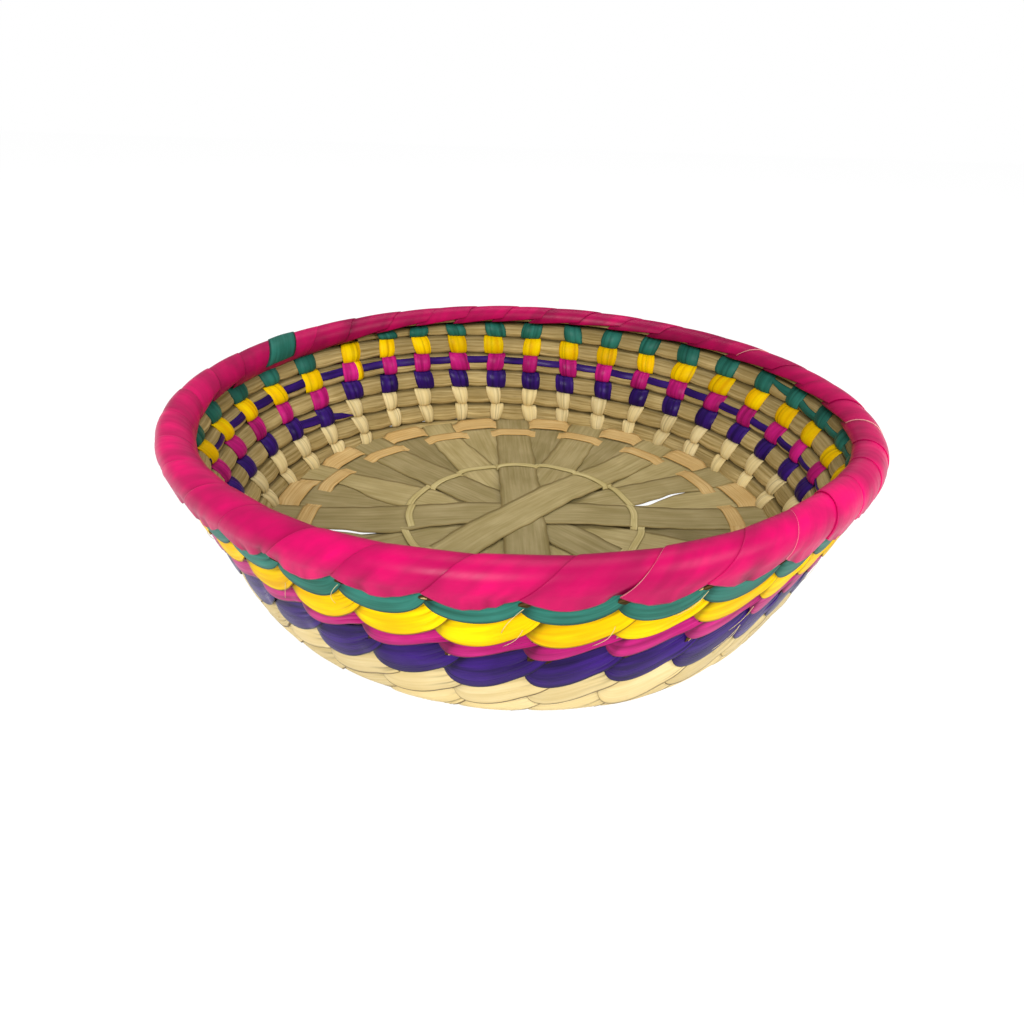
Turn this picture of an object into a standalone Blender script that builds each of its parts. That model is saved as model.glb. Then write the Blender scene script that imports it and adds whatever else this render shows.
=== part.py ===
"""A coiled palm-leaf tortilla basket, built as it is made.

Sixteen floor arms cross in the middle and are twined together. Six turns of a leaf
bundle climb from them as the wall, each bound by its own coloured strip, stitch by
stitch, and a thicker bundle closes the rim. Lengths are in metres, angles in
degrees. +Z is up, and the origin is at the middle of the underside.
"""

import math

import bmesh
import bpy

# Wall: rows of one climbing coil, counted from the bottom
ROWS = 6
STITCHES = 36
FIRST_ROW_RADIUS = 0.1073
ROW_RISE = 0.0081
ROW_FLARE = 0.00306
RIM_HALF_DEPTH = 0.0052
RIM_RISE = 0.0061
RIM_TOP_RISE = 0.0058

# Leaf strips and the play between neighbours
WRAP_LEAF = 0.0004
FLOOR_LEAF = 0.00035
CLEAR = 0.0003
STACK_CLEAR = 0.0002

# Bundle inside a wall row, measured from its middle line
CORE_DEPTH_IN = 0.0021
CORE_DEPTH_OUT = 0.0028
CORE_CORNER_SHARE = 0.55

# Bundle inside the rim
RIM_CORNER_SHARE = 0.6
RIM_TOP_SHARE = 0.55
RIM_BULGE_SHARE = 0.35

# Where the coil climbs from one row to the next, and where its colour changes
CLIMB_START = 63.0
CLIMB_ANGLE = 116.7
FIRST_STITCH = 129.3
COLOUR_CHANGE_STITCHES = 1.5
WEDGE_STITCHES = 3
TAIL_SHARE = 0.3

# Hand-made unevenness at the height of the rim
OVAL_SWELL = 0.0035
OVAL_DIRECTION = 14.1
THREE_SIDED_SWELL = 0.0018
THREE_SIDED_DIRECTION = 37.1
SADDLE_RISE = 0.0026
SADDLE_DIRECTION = 101.7

# Dents in the wall: their reach to each side in degrees, and how deep they are below and above
DENT_DIRECTIONS = (317.0, 225.0)
DENT_REACHES = (21.0, 18.0)
DENT_DEPTHS_BELOW = (0.0049, 0.0013)
DENT_DEPTHS_ABOVE = (0.0026, 0.0016)
DENT_START_SHARE = 0.56

# Floor: crossing strips, filler wedges between them and the twined rings
FLOOR_STRIPS = 8
FLOOR_STRIP_WIDTH = 0.017
FIRST_STRIP_DIRECTION = 4.25
STRIP_LEVELS = (5, 2, 7, 4, 6, 1, 3, 0)
FLOOR_SLIT = 0.0015
FILLER_TIP_WIDTH = 0.002
CROSSING_MARGIN = 0.0008
RAMP_LEVEL_SHARE = 0.5
INNER_TWINE_RADII = (0.0470, 0.0502)
INNER_TWINE_WIDTH = 0.0026
OUTER_TWINE_A_INSET = 0.0105
OUTER_TWINE_A_WIDTH = 0.0070
OUTER_TWINE_B_INSET = 0.0198
OUTER_TWINE_B_WIDTH = 0.0056
TWINE_EDGE_PLAY = 0.0001

# One stitch of the wall: corner of the bundle, share of the step, share of the width
STITCH_SHARES = (
    ("bottom_in", 0.00, 0.45),
    ("bottom_out", 0.10, 0.60),
    ("middle_out", 0.50, 0.94),
    ("top_out", 0.90, 0.60),
    ("top_in", 1.00, 0.45),
)
RIM_STITCH_SHARES = (
    ("bottom_in", 0.00, 0.86),
    ("bottom_out", 0.12, 0.86),
    ("middle_out", 0.38, 0.93),
    ("top_out", 0.60, 0.93),
    ("top_in", 0.76, 0.93),
    ("middle_in", 0.92, 0.93),
)
ROW_CORNERS = ("bottom_in", "bottom_out", "middle_out", "top_out", "top_in")
RIM_CORNERS = ROW_CORNERS + ("middle_in",)

# Colours in linear light, roughness
DRY_PALM = ((0.33, 0.27, 0.11), 0.75)
FLOOR_PALM = ((0.32, 0.27, 0.13), 0.7)
PALE_PALM = ((0.78, 0.55, 0.27), 0.6)
PURPLE_PALM = ((0.06, 0.02, 0.18), 0.4)
PINK_PALM = ((0.50, 0.02, 0.18), 0.45)
YELLOW_PALM = ((0.90, 0.62, 0.01), 0.45)
GREEN_PALM = ((0.02, 0.19, 0.13), 0.45)
RIM_PALM = ((0.72, 0.01, 0.20), 0.4)

# Layers under and over the floor, from the table up
FLOOR_HEIGHT = WRAP_LEAF + CLEAR
FLOOR_TOP = FLOOR_HEIGHT + FLOOR_LEAF
CORE_BASE = FLOOR_TOP + CLEAR
FIRST_ROW_HEIGHT = CORE_BASE + ROW_RISE / 2 - CLEAR / 2 - WRAP_LEAF - CLEAR
RIM_HEIGHT = FIRST_ROW_HEIGHT + (ROWS - 1) * ROW_RISE + RIM_RISE
RIM_RADIUS = FIRST_ROW_RADIUS + (ROWS - 1) * ROW_FLARE
CORE_HEIGHT = ROW_RISE - CLEAR - 2 * (WRAP_LEAF + CLEAR)

STEP = 360.0 / STITCHES
FIRST_TURN_STITCH = 1
ARM_STEP = 180.0 / FLOOR_STRIPS


def clear_scene():
    """Removes whatever the scene holds."""
    for item in list(bpy.data.objects):
        bpy.data.objects.remove(item, do_unlink=True)


def material(name, look):
    """A plain matt or satin material for one kind of leaf."""
    colour, roughness = look
    made = bpy.data.materials.new(name)
    made.use_nodes = True
    shader = made.node_tree.nodes["Principled BSDF"]
    shader.inputs["Base Color"].default_value = (*colour, 1.0)
    shader.inputs["Roughness"].default_value = roughness
    shader.inputs["Metallic"].default_value = 0.0
    return made


def add_object(name, points, faces, look):
    """One closed body as an object of its own, with its faces pointing out."""
    mesh = bpy.data.meshes.new(name)
    mesh.from_pydata(points, [], faces)
    shape = bmesh.new()
    shape.from_mesh(mesh)
    bmesh.ops.recalc_face_normals(shape, faces=shape.faces)
    shape.to_mesh(mesh)
    shape.free()
    mesh.materials.append(material(name, look))
    piece = bpy.data.objects.new(name, mesh)
    bpy.context.scene.collection.objects.link(piece)
    return piece


def skin(rings, closed):
    """Points and faces that join equal rings of points, capped unless closed."""
    count = len(rings[0])
    points = [point for ring in rings for point in ring]
    faces = []
    links = len(rings) if closed else len(rings) - 1
    for row in range(links):
        here = row * count
        there = (row + 1) % len(rings) * count
        for side in range(count):
            after = (side + 1) % count
            faces.append((here + side, here + after, there + after, there + side))
    if not closed:
        faces.append(tuple(range(count)))
        faces.append(tuple(range(len(points) - count, len(points))))
    return points, faces


def smooth_step(share):
    """An S-curve from 0 to 1 that starts and ends level."""
    share = min(max(share, 0.0), 1.0)
    return share * share * (3.0 - 2.0 * share)


def climb(angle):
    """How far the coil has climbed to the next row at an angle of its climb."""
    return smooth_step((angle - CLIMB_START) / CLIMB_ANGLE)


def coil_levels(turn, angle):
    """Levels of the bottom and the top of a turn, in rows from the first row's middle.

    A turn runs level and climbs one row over the climb. The first turn lies flat
    on the floor, and the last stays under the level rim, so both end as wedges.
    """
    level = turn - 1 + climb(angle) + climb(angle - 360.0)
    bottom = max(level - 0.5, -0.5)
    top = min(level + 0.5, ROWS - 0.5)
    return bottom, top


def level_height(level):
    """Height of a level above the table."""
    return FIRST_ROW_HEIGHT + level * ROW_RISE


def wall_radius(height):
    """Radius of the wall's leaning middle line at a height."""
    return FIRST_ROW_RADIUS + ROW_FLARE * (height - FIRST_ROW_HEIGHT) / ROW_RISE


def facet_sag(radius):
    """How far the middle of one stitch's flat facet lies inside its circle."""
    return radius * (1.0 - math.cos(math.radians(STEP / 2)))


def dent(radius, angle, rise):
    """How far the dents push a point in, with nothing in the middle of the floor."""
    depth = 0.0
    for direction, reach, below, above in zip(
        DENT_DIRECTIONS, DENT_REACHES, DENT_DEPTHS_BELOW, DENT_DEPTHS_ABOVE
    ):
        aside = (angle - direction + 180.0) % 360.0 - 180.0
        depth += (below + (above - below) * rise) * math.exp(-((aside / reach) ** 2))
    share = (radius / FIRST_ROW_RADIUS - DENT_START_SHARE) / (1.0 - DENT_START_SHARE)
    return depth * smooth_step(share)


def place(radius, angle, height):
    """The hand-made basket's point for an even radius, angle and height.

    The swell and the rise grow with the height, from nothing at the first row.
    """
    rise = max(height - FIRST_ROW_HEIGHT, 0.0) / (RIM_HEIGHT - FIRST_ROW_HEIGHT)
    oval = OVAL_SWELL * math.cos(math.radians(2 * (angle - OVAL_DIRECTION)))
    three = THREE_SIDED_SWELL * math.cos(math.radians(3 * (angle - THREE_SIDED_DIRECTION)))
    saddle = SADDLE_RISE * math.cos(math.radians(2 * (angle - SADDLE_DIRECTION)))
    radius += rise * (oval + three) * radius / RIM_RADIUS - dent(radius, angle, rise)
    height += rise * saddle
    turn = math.radians(angle)
    return radius * math.cos(turn), radius * math.sin(turn), height


def row_corner(turn, angle, corner, leaf_side, on_table):
    """A corner of a wall row's section, on its bundle or on a side of its wrap.

    leaf_side is None on the bundle, 0 on the wrap's inner side and 1 on its outer
    side. on_table says that the wrap passes under the floor arms.
    """
    bottom, top = coil_levels(turn, angle)
    low = level_height(bottom) + CLEAR / 2 + WRAP_LEAF + CLEAR
    high = level_height(top) - CLEAR / 2 - WRAP_LEAF - CLEAR
    bulge = CORE_CORNER_SHARE + (1.0 - CORE_CORNER_SHARE) * (high - low) / CORE_HEIGHT
    depth = CORE_DEPTH_OUT * (bulge if corner == "middle_out" else CORE_CORNER_SHARE)
    grow = 0.0
    grow_up = 0.0
    if leaf_side is not None:
        grow_up = CLEAR + leaf_side * WRAP_LEAF
        grow = grow_up + facet_sag(wall_radius(low))
    if corner == "middle_out":
        height = (low + high) / 2
    elif corner.startswith("top"):
        height = high + grow_up
    elif on_table and leaf_side is not None:
        height = (1 - leaf_side) * WRAP_LEAF
    else:
        height = low - grow_up
    side = depth + grow if corner.endswith("out") else -CORE_DEPTH_IN - grow
    return wall_radius(height) + side, height


def rim_corner(corner, leaf_side):
    """A corner of the rim's section, on its bundle or on a side of its wrap."""
    inset = WRAP_LEAF + CLEAR
    if leaf_side is not None:
        inset = WRAP_LEAF * (1 - leaf_side)
    inset_side = inset
    if leaf_side is None:
        inset_side = inset + facet_sag(RIM_RADIUS)
    low = level_height(ROWS - 0.5) + CLEAR / 2 + inset
    high = RIM_HEIGHT + RIM_TOP_RISE - inset
    heights = {"bottom": low, "top": high, "middle": low + (high - low) * RIM_BULGE_SHARE}
    shares = {"bottom": RIM_CORNER_SHARE, "top": RIM_TOP_SHARE, "middle": 1.0}
    part, side = corner.split("_")
    reach = RIM_HALF_DEPTH * shares[part] - inset_side
    return RIM_RADIUS + (reach if side == "out" else -reach), heights[part]


def turn_angles(turn):
    """Start and end angle of a turn's bundle, at the change of colour."""
    start = FIRST_STITCH + COLOUR_CHANGE_STITCHES * STEP
    end = start + 360.0
    if turn == 0:
        start -= (WEDGE_STITCHES + 1) * STEP
    if turn == ROWS - 1:
        while 1.0 - climb(end - 360.0) < TAIL_SHARE:
            end -= STEP / 2
    return start, end


def core_turn(turn):
    """One turn of the leaf bundle, its ends cut where the next turn joins on."""
    start, end = turn_angles(turn)
    play = math.degrees(CLEAR / 2 / FIRST_ROW_RADIUS)
    count = round((end - start) / STEP)
    rings = []
    for number in range(count + 1):
        angle = start + number * (end - start) / count
        angle += play if number == 0 else 0.0
        angle -= play if number == count else 0.0
        corners = (row_corner(turn, angle, name, None, False) for name in ROW_CORNERS)
        rings.append([place(radius, angle, height) for radius, height in corners])
    add_object(f"core_turn_{turn + 1}", *skin(rings, False), DRY_PALM)


def leaf_ring(angle, width, corner_at):
    """The four points across a wrap: inner side left and right, outer right and left."""
    ring = []
    for leaf_side, edge_share in ((0, -0.5), (0, 0.5), (1, 0.5), (1, -0.5)):
        edge = angle + edge_share * width
        radius, height = corner_at(edge, leaf_side)
        ring.append(place(radius, edge, height))
    return ring


def row_wrap(name, turn, look):
    """The strip that binds one turn, a petal outside and a narrow block inside."""
    first = FIRST_TURN_STITCH
    last = first + STITCHES
    if turn == 0:
        first -= WEDGE_STITCHES
    if turn == ROWS - 1:
        last = math.floor((turn_angles(turn)[1] - FIRST_STITCH) / STEP)
    free_from = FIRST_TURN_STITCH + STITCHES - WEDGE_STITCHES
    rings = []
    for stitch in range(first, last):
        for corner, along_share, width_share in STITCH_SHARES:
            angle = FIRST_STITCH + (stitch + along_share) * STEP
            on_table = turn == 0 and stitch + along_share < free_from

            def corner_at(edge, leaf_side):
                return row_corner(turn, edge, corner, leaf_side, on_table)

            rings.append(leaf_ring(angle, width_share * STEP, corner_at))
    if turn > 0:
        rings = rings[1:]
    add_object(name, *skin(rings, False), look)


def rim_core():
    """The closed ring of bundled leaf inside the rim."""
    rings = []
    for number in range(STITCHES):
        angle = FIRST_STITCH + (number + 0.5) * STEP
        corners = (rim_corner(name, None) for name in RIM_CORNERS)
        rings.append([place(radius, angle, height) for radius, height in corners])
    add_object("rim_core", *skin(rings, True), DRY_PALM)


def rim_wrap():
    """The wide slanting strip that covers the whole rim, one turn for each stitch."""
    rings = []
    for stitch in range(STITCHES):
        for corner, along_share, width_share in RIM_STITCH_SHARES:
            angle = FIRST_STITCH + (stitch + along_share) * STEP

            def corner_at(edge, leaf_side):
                return rim_corner(corner, leaf_side)

            rings.append(leaf_ring(angle, width_share * STEP, corner_at))
    add_object("rim_wrap", *skin(rings, False), RIM_PALM)


def crossing_radius(strips_apart):
    """Radius past which two strips that many steps apart no longer cross."""
    half_angle = math.radians(strips_apart * ARM_STEP / 2)
    return FLOOR_STRIP_WIDTH / 2 / math.sin(half_angle) + CROSSING_MARGIN


def ramp_radii():
    """Radii where the piled strips start down from their levels and reach the floor."""
    start = crossing_radius(2)
    end = start + (crossing_radius(1) - start) / (1.0 - RAMP_LEVEL_SHARE)
    return start, end


def strip_height(number, radius):
    """Height of a floor strip's underside at a radius."""
    start, end = ramp_radii()
    share = min(max((end - radius) / (end - start), 0.0), 1.0)
    level = STRIP_LEVELS[number % FLOOR_STRIPS]
    return FLOOR_HEIGHT + share * level * (FLOOR_LEAF + STACK_CLEAR)


def arm_end():
    """Radius where the floor arms end, inside the outer side of the first stitches."""
    return wall_radius(FLOOR_HEIGHT) + CORE_DEPTH_OUT * CORE_CORNER_SHARE - CLEAR


def flat_to_floor(along, aside, direction, height):
    """A point of the floor at a distance along and beside a strip's own direction."""
    angle = direction + math.degrees(math.atan2(aside, along))
    return place(math.hypot(along, aside), angle, height)


def stitch_slots():
    """The slits that the first row's stitches pierce in the floor arms, as a cutter."""
    leg_radius, _ = row_corner(0, FIRST_STITCH, "bottom_in", 1, True)
    near = leg_radius - CLEAR
    far = wall_radius(FLOOR_TOP) - CORE_DEPTH_IN - facet_sag(FIRST_ROW_RADIUS)
    half = leg_radius * math.radians(STITCH_SHARES[0][2] * STEP / 2) + CLEAR
    points = []
    faces = []
    for number in range(STITCHES):
        direction = FIRST_STITCH + number * STEP
        rings = []
        for height in (-CORE_BASE, 2 * CORE_BASE):
            corners = ((near, -half), (far, -half), (far, half), (near, half))
            rings.append([flat_to_floor(along, aside, direction, height) for along, aside in corners])
        box_points, box_faces = skin(rings, False)
        faces += [tuple(len(points) + corner for corner in face) for face in box_faces]
        points += box_points
    cutter = add_object("stitch_slots", points, faces, DRY_PALM)
    cutter.hide_render = True
    cutter.display_type = "WIRE"
    return cutter


def pierce(arm, cutter):
    """Cuts the stitches' slits into a floor arm."""
    cut = arm.modifiers.new("stitch slits", "BOOLEAN")
    cut.operation = "DIFFERENCE"
    cut.object = cutter


def floor_strip(number, cutter):
    """One strip across the whole floor, over or under the others in the middle."""
    start, end = ramp_radii()
    direction = FIRST_STRIP_DIRECTION + number * ARM_STEP
    half = FLOOR_STRIP_WIDTH / 2
    rings = []
    for along in (-arm_end(), -end, -start, start, end, arm_end()):
        low = strip_height(number, abs(along))
        corners = ((-half, low), (half, low), (half, low + FLOOR_LEAF), (-half, low + FLOOR_LEAF))
        rings.append([flat_to_floor(along, aside, direction, height) for aside, height in corners])
    arm = add_object(f"floor_strip_{number + 1}", *skin(rings, False), FLOOR_PALM)
    pierce(arm, cutter)


def filler_half_width(along):
    """Half the width of a filler wedge, one slit away from the strips beside it."""
    half_angle = math.radians(ARM_STEP / 2)
    reach = FLOOR_STRIP_WIDTH / 2 + FLOOR_SLIT
    return (along * math.sin(half_angle) - reach) / math.cos(half_angle)


def filler_start():
    """Distance from the middle where a filler wedge is as narrow as its tip."""
    half_angle = math.radians(ARM_STEP / 2)
    reach = FLOOR_STRIP_WIDTH / 2 + FLOOR_SLIT
    return (reach + FILLER_TIP_WIDTH / 2 * math.cos(half_angle)) / math.sin(half_angle)


def floor_filler(number, cutter):
    """A wedge of leaf that closes the floor between two spreading arms."""
    direction = FIRST_STRIP_DIRECTION + (number + 0.5) * ARM_STEP
    rings = []
    for along in (filler_start(), arm_end()):
        half = filler_half_width(along)
        low, high = FLOOR_HEIGHT, FLOOR_TOP
        corners = ((-half, low), (half, low), (half, high), (-half, high))
        rings.append([flat_to_floor(along, aside, direction, height) for aside, height in corners])
    arm = add_object(f"floor_filler_{number + 1}", *skin(rings, False), FLOOR_PALM)
    pierce(arm, cutter)


def mitred(path, offset, whole):
    """A closed path's points moved square to its runs by an offset, mitred at bends.

    whole is the length after which the path repeats.
    """
    count = len(path)
    moved = []
    for number, (run, rise) in enumerate(path):
        run_in, rise_in = path[number - 1]
        run_out, rise_out = path[(number + 1) % count]
        run_in -= whole if number == 0 else 0.0
        run_out += whole if number == count - 1 else 0.0
        before = (run - run_in, rise - rise_in)
        after = (run_out - run, rise_out - rise)
        normals = []
        for along, up in (before, after):
            size = math.hypot(along, up)
            normals.append((-up / size, along / size))
        dot = normals[0][0] * normals[1][0] + normals[0][1] * normals[1][1]
        scale = offset / (1.0 + dot)
        move_run = (normals[0][0] + normals[1][0]) * scale
        move_rise = (normals[0][1] + normals[1][1]) * scale
        moved.append((run + move_run, rise + move_rise))
    return moved


def twine(name, radius, width, crossings):
    """A strip that weaves once round over and under the arms.

    Each crossing is the function of a radius that gives the angles where its flat
    stretch starts and ends, and the height of the strip's middle there.
    """
    edges = []
    for edge in (radius - width / 2, radius + width / 2):
        path = []
        for angles_at, height in crossings:
            for angle in angles_at(edge):
                path.append((edge * math.radians(angle), height))
        whole = edge * math.radians(360.0)
        low = mitred(path, -FLOOR_LEAF / 2, whole)
        high = mitred(path, FLOOR_LEAF / 2, whole)
        for side in (low, high):
            edges.append([(edge, math.degrees(run / edge), height) for run, height in side])
    inner_low, inner_high, outer_low, outer_high = edges
    rings = []
    for corners in zip(inner_low, outer_low, outer_high, inner_high):
        rings.append([flat_to_floor(reach, 0.0, angle, height) for reach, angle, height in corners])
    add_object(name, *skin(rings, True), PALE_PALM)


def arm_span(direction, inside):
    """The angles that a flat stretch over a strip or a filler covers at a radius."""
    reach = FLOOR_STRIP_WIDTH / 2 + TWINE_EDGE_PLAY
    slit_reach = FLOOR_STRIP_WIDTH / 2 + FLOOR_SLIT - TWINE_EDGE_PLAY

    def span(radius):
        half = math.degrees(math.asin(reach / radius))
        if not inside:
            half = ARM_STEP / 2 - math.degrees(math.asin(slit_reach / radius))
        return direction - half, direction + half

    return span


def inner_twines():
    """Two strips round the crossing, each over the arms that the other goes under."""
    for turn, radius in enumerate(INNER_TWINE_RADII):
        crossings = []
        for arm in range(2 * FLOOR_STRIPS):
            low = strip_height(arm, radius)
            over = low + 1.5 * FLOOR_LEAF + CLEAR
            under = low - 0.5 * FLOOR_LEAF - CLEAR
            direction = FIRST_STRIP_DIRECTION + arm * ARM_STEP
            height = over if (arm + turn) % 2 == 0 else under
            crossings.append((arm_span(direction, True), height))
        name = "inner_twine_" + "ab"[turn]
        twine(name, radius, INNER_TWINE_WIDTH, crossings)


def outer_twine(name, radius, width, over_strips):
    """A strip near the wall, over the strips and under the fillers or the reverse."""
    over = FLOOR_TOP + CLEAR + FLOOR_LEAF / 2
    under = FLOOR_HEIGHT - CLEAR - FLOOR_LEAF / 2
    crossings = []
    for arm in range(2 * FLOOR_STRIPS):
        direction = FIRST_STRIP_DIRECTION + arm * ARM_STEP
        crossings.append((arm_span(direction, True), over if over_strips else under))
        direction += ARM_STEP / 2
        crossings.append((arm_span(direction, False), under if over_strips else over))
    twine(name, radius, width, crossings)


def build_floor():
    """The crossing strips, the fillers between them and the twined rings."""
    cutter = stitch_slots()
    for number in range(FLOOR_STRIPS):
        floor_strip(number, cutter)
    for number in range(2 * FLOOR_STRIPS):
        floor_filler(number, cutter)
    inner_twines()
    radius = FIRST_ROW_RADIUS - OUTER_TWINE_A_INSET
    outer_twine("outer_twine_a", radius, OUTER_TWINE_A_WIDTH, False)
    radius = FIRST_ROW_RADIUS - OUTER_TWINE_B_INSET
    outer_twine("outer_twine_b", radius, OUTER_TWINE_B_WIDTH, True)


def build_wall():
    """The coil's turns with their coloured wraps, and the rim."""
    wraps = (
        ("pale_wrap_1", PALE_PALM),
        ("pale_wrap_2", PALE_PALM),
        ("purple_wrap", PURPLE_PALM),
        ("pink_wrap", PINK_PALM),
        ("yellow_wrap", YELLOW_PALM),
        ("green_wrap", GREEN_PALM),
    )
    for turn, (name, look) in enumerate(wraps):
        core_turn(turn)
        row_wrap(name, turn, look)
    rim_core()
    rim_wrap()


def main():
    """Builds the basket in an empty scene."""
    clear_scene()
    build_floor()
    build_wall()


main()
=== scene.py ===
# %% [markdown]
# # A coiled palm-leaf tortilla basket
# This lesson dresses a plain CAD model of a basket in dyed palm leaf. The real basket is a
# bundle of dry leaf, coiled upwards, with coloured strips wound round it stitch by stitch.
# Each piece below is a surface worked out with numpy from two parameters, which is how the
# maker works too: along the strip, and across it. The CAD model is loaded first, because
# it fixes where everything is.

# %% The fixed frame and its size
import math

import bpy
import numpy as np
from mathutils import Matrix, Vector


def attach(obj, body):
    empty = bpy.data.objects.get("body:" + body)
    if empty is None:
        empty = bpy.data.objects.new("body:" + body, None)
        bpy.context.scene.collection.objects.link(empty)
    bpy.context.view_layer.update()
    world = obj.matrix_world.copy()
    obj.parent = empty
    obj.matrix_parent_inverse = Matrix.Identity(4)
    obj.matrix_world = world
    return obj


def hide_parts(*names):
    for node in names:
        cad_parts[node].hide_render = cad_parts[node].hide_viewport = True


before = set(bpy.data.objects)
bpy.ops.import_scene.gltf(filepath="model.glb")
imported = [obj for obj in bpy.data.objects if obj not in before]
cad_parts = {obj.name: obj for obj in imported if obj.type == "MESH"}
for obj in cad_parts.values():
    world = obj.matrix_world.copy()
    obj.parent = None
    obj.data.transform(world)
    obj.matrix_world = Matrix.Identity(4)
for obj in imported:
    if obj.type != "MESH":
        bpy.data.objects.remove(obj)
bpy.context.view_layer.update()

MM = 0.001
rng = np.random.default_rng(11)

# %% [markdown]
# ## The shape of the coil
# The wall is one coil. Seen as a map, it has an angle round the basket and a level, counted
# in rows. Over the far left side the coil climbs smoothly from one row to the next, so the
# level of a turn is a function of the angle alone. The map is then bent into the basket: it
# leans outwards, and the hand-made rim is a little oval and a little saddle-shaped. Working
# on the map keeps every later formula short.

# %% The coil's map
ROWS = 6
STITCHES = 36
STEP = 360.0 / STITCHES
FIRST_STITCH = 129.3
CLIMB_START = 63.0
CLIMB_ANGLE = 116.7
ROW_RISE = 8.1 * MM
ROW_FLARE = 3.06 * MM
FIRST_ROW_RADIUS = 107.3 * MM
FIRST_ROW_HEIGHT = 4.55 * MM
RIM_HEIGHT = 51.15 * MM
RIM_RADIUS = 122.6 * MM
OVAL_SWELL, OVAL_DIRECTION = 3.6 * MM, 14.1
THREE_SWELL, THREE_DIRECTION = 2.2 * MM, 37.1
SADDLE_RISE, SADDLE_DIRECTION = 2.6 * MM, 101.7
# Dents: direction, reach to each side, depth at the first row and at the rim
DENTS = ((317.0, 21.0, 4.9 * MM, 2.6 * MM), (225.0, 18.0, 1.3 * MM, 1.6 * MM))
DENT_START = 0.56


def smooth(share):
    """3s² - 2s³ of a share held between 0 and 1."""
    share = np.clip(share, 0.0, 1.0)
    return share * share * (3.0 - 2.0 * share)


def climb(angle):
    """The share of a row that the coil has climbed at an angle."""
    return smooth((angle - CLIMB_START) / CLIMB_ANGLE)


def row_span(turn, angle):
    """Middle level and height in rows of a turn: turn - 1 + climb, cut at the floor and the rim."""
    level = turn - 1 + climb(angle) + climb(angle - 360.0)
    bottom = np.maximum(level - 0.5, -0.5)
    top = np.minimum(level + 0.5, ROWS - 0.5)
    return (bottom + top) / 2, top - bottom


def bell(angle, direction, reach):
    """exp(-((θ - θd) / w)²): 1 at a direction and near 0 from two reaches to each side of it."""
    aside = (angle - direction + 180.0) % 360.0 - 180.0
    return np.exp(-(aside / reach) ** 2)


def dent(radius, angle, rise):
    """How far the dents push in: the sum of depth times bell, nothing in the middle of the floor."""
    depth = 0.0
    for direction, reach, below, above in DENTS:
        depth = depth + (below + (above - below) * rise) * bell(angle, direction, reach)
    return depth * smooth((radius / FIRST_ROW_RADIUS - DENT_START) / (1.0 - DENT_START))


def bend(radius, angle, height):
    """Points (x, y, z) of the uneven basket for an even radius, angle in degrees and height.

    radius + rise (a cos 2(θ - θ2) + b cos 3(θ - θ3)) - dent, height + rise c cos 2(θ - θs).
    """
    rise = np.maximum(height - FIRST_ROW_HEIGHT, 0.0) / (RIM_HEIGHT - FIRST_ROW_HEIGHT)
    oval = OVAL_SWELL * np.cos(np.radians(2 * (angle - OVAL_DIRECTION)))
    three = THREE_SWELL * np.cos(np.radians(3 * (angle - THREE_DIRECTION)))
    saddle = SADDLE_RISE * np.cos(np.radians(2 * (angle - SADDLE_DIRECTION)))
    radius = radius + rise * (oval + three) * radius / RIM_RADIUS - dent(radius, angle, rise)
    turn = np.radians(angle)
    place = (radius * np.cos(turn), radius * np.sin(turn), height + rise * saddle)
    return np.stack(np.broadcast_arrays(*place), -1)


def wall(angle, level, out):
    """A point of the wall: its level in rows gives its height and its lean, out is in metres."""
    height = FIRST_ROW_HEIGHT + level * ROW_RISE
    return bend(FIRST_ROW_RADIUS + level * ROW_FLARE + out, angle, height)


# By how much the front columns stand beside even steps
DRIFT_ANGLES = (220.0, 249.3, 259.3, 269.3, 279.3, 289.3, 299.3, 309.3, 330.0)
DRIFT_DEGREES = (0.0, -0.6, 0.2, 0.7, 1.4, 1.9, 4.2, 3.2, 0.0)


def column_angle(number):
    """Angle of a column of stitches: even steps, with the drift of the hand over the front."""
    angle = FIRST_STITCH + STEP * number
    return angle + np.interp(angle % 360.0, DRIFT_ANGLES, DRIFT_DEGREES)


def wander(angle, waves, size, phases=None):
    """A slow wave round the basket: size times the sum of n terms sin(k θ + phase), over √n."""
    phases = rng.uniform(0.0, 2 * np.pi, len(waves)) if phases is None else phases
    total = sum(np.sin(np.radians(angle) * wave + phase) for wave, phase in zip(waves, phases))
    return size * total / math.sqrt(len(waves))


print("rows:", ROWS, "of", STITCHES, "stitches, first radius", FIRST_ROW_RADIUS, "rim radius", RIM_RADIUS)

# %% [markdown]
# ## From grids to meshes
# Every strip is a rectangle of points, and a row of stitches is a stack of such rectangles.
# One function turns a stack into a mesh. It also writes a UV map in metres, along and across
# the leaf, so that the fibres of the material follow the strip, and two numbers for each
# point: a tone that differs from strip to strip and also carries painted shade, and how near
# the point is to the edge.

# %% A stack of grids as one mesh
def grid_faces(patches, rows, columns, round_rows, round_columns):
    """Quads (r, c), (r, c + 1), (r + 1, c + 1), (r + 1, c) of each grid in a stack."""
    row = np.arange(rows if round_rows else rows - 1)[None, :, None]
    column = np.arange(columns if round_columns else columns - 1)[None, None, :]
    start = np.arange(patches)[:, None, None] * rows * columns
    next_row = (row + 1) % rows
    next_column = (column + 1) % columns
    corners = [row * columns + column, row * columns + next_column]
    corners += [next_row * columns + next_column, next_row * columns + column]
    return np.stack([start + corner for corner in corners], -1).reshape(-1, 4)


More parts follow.
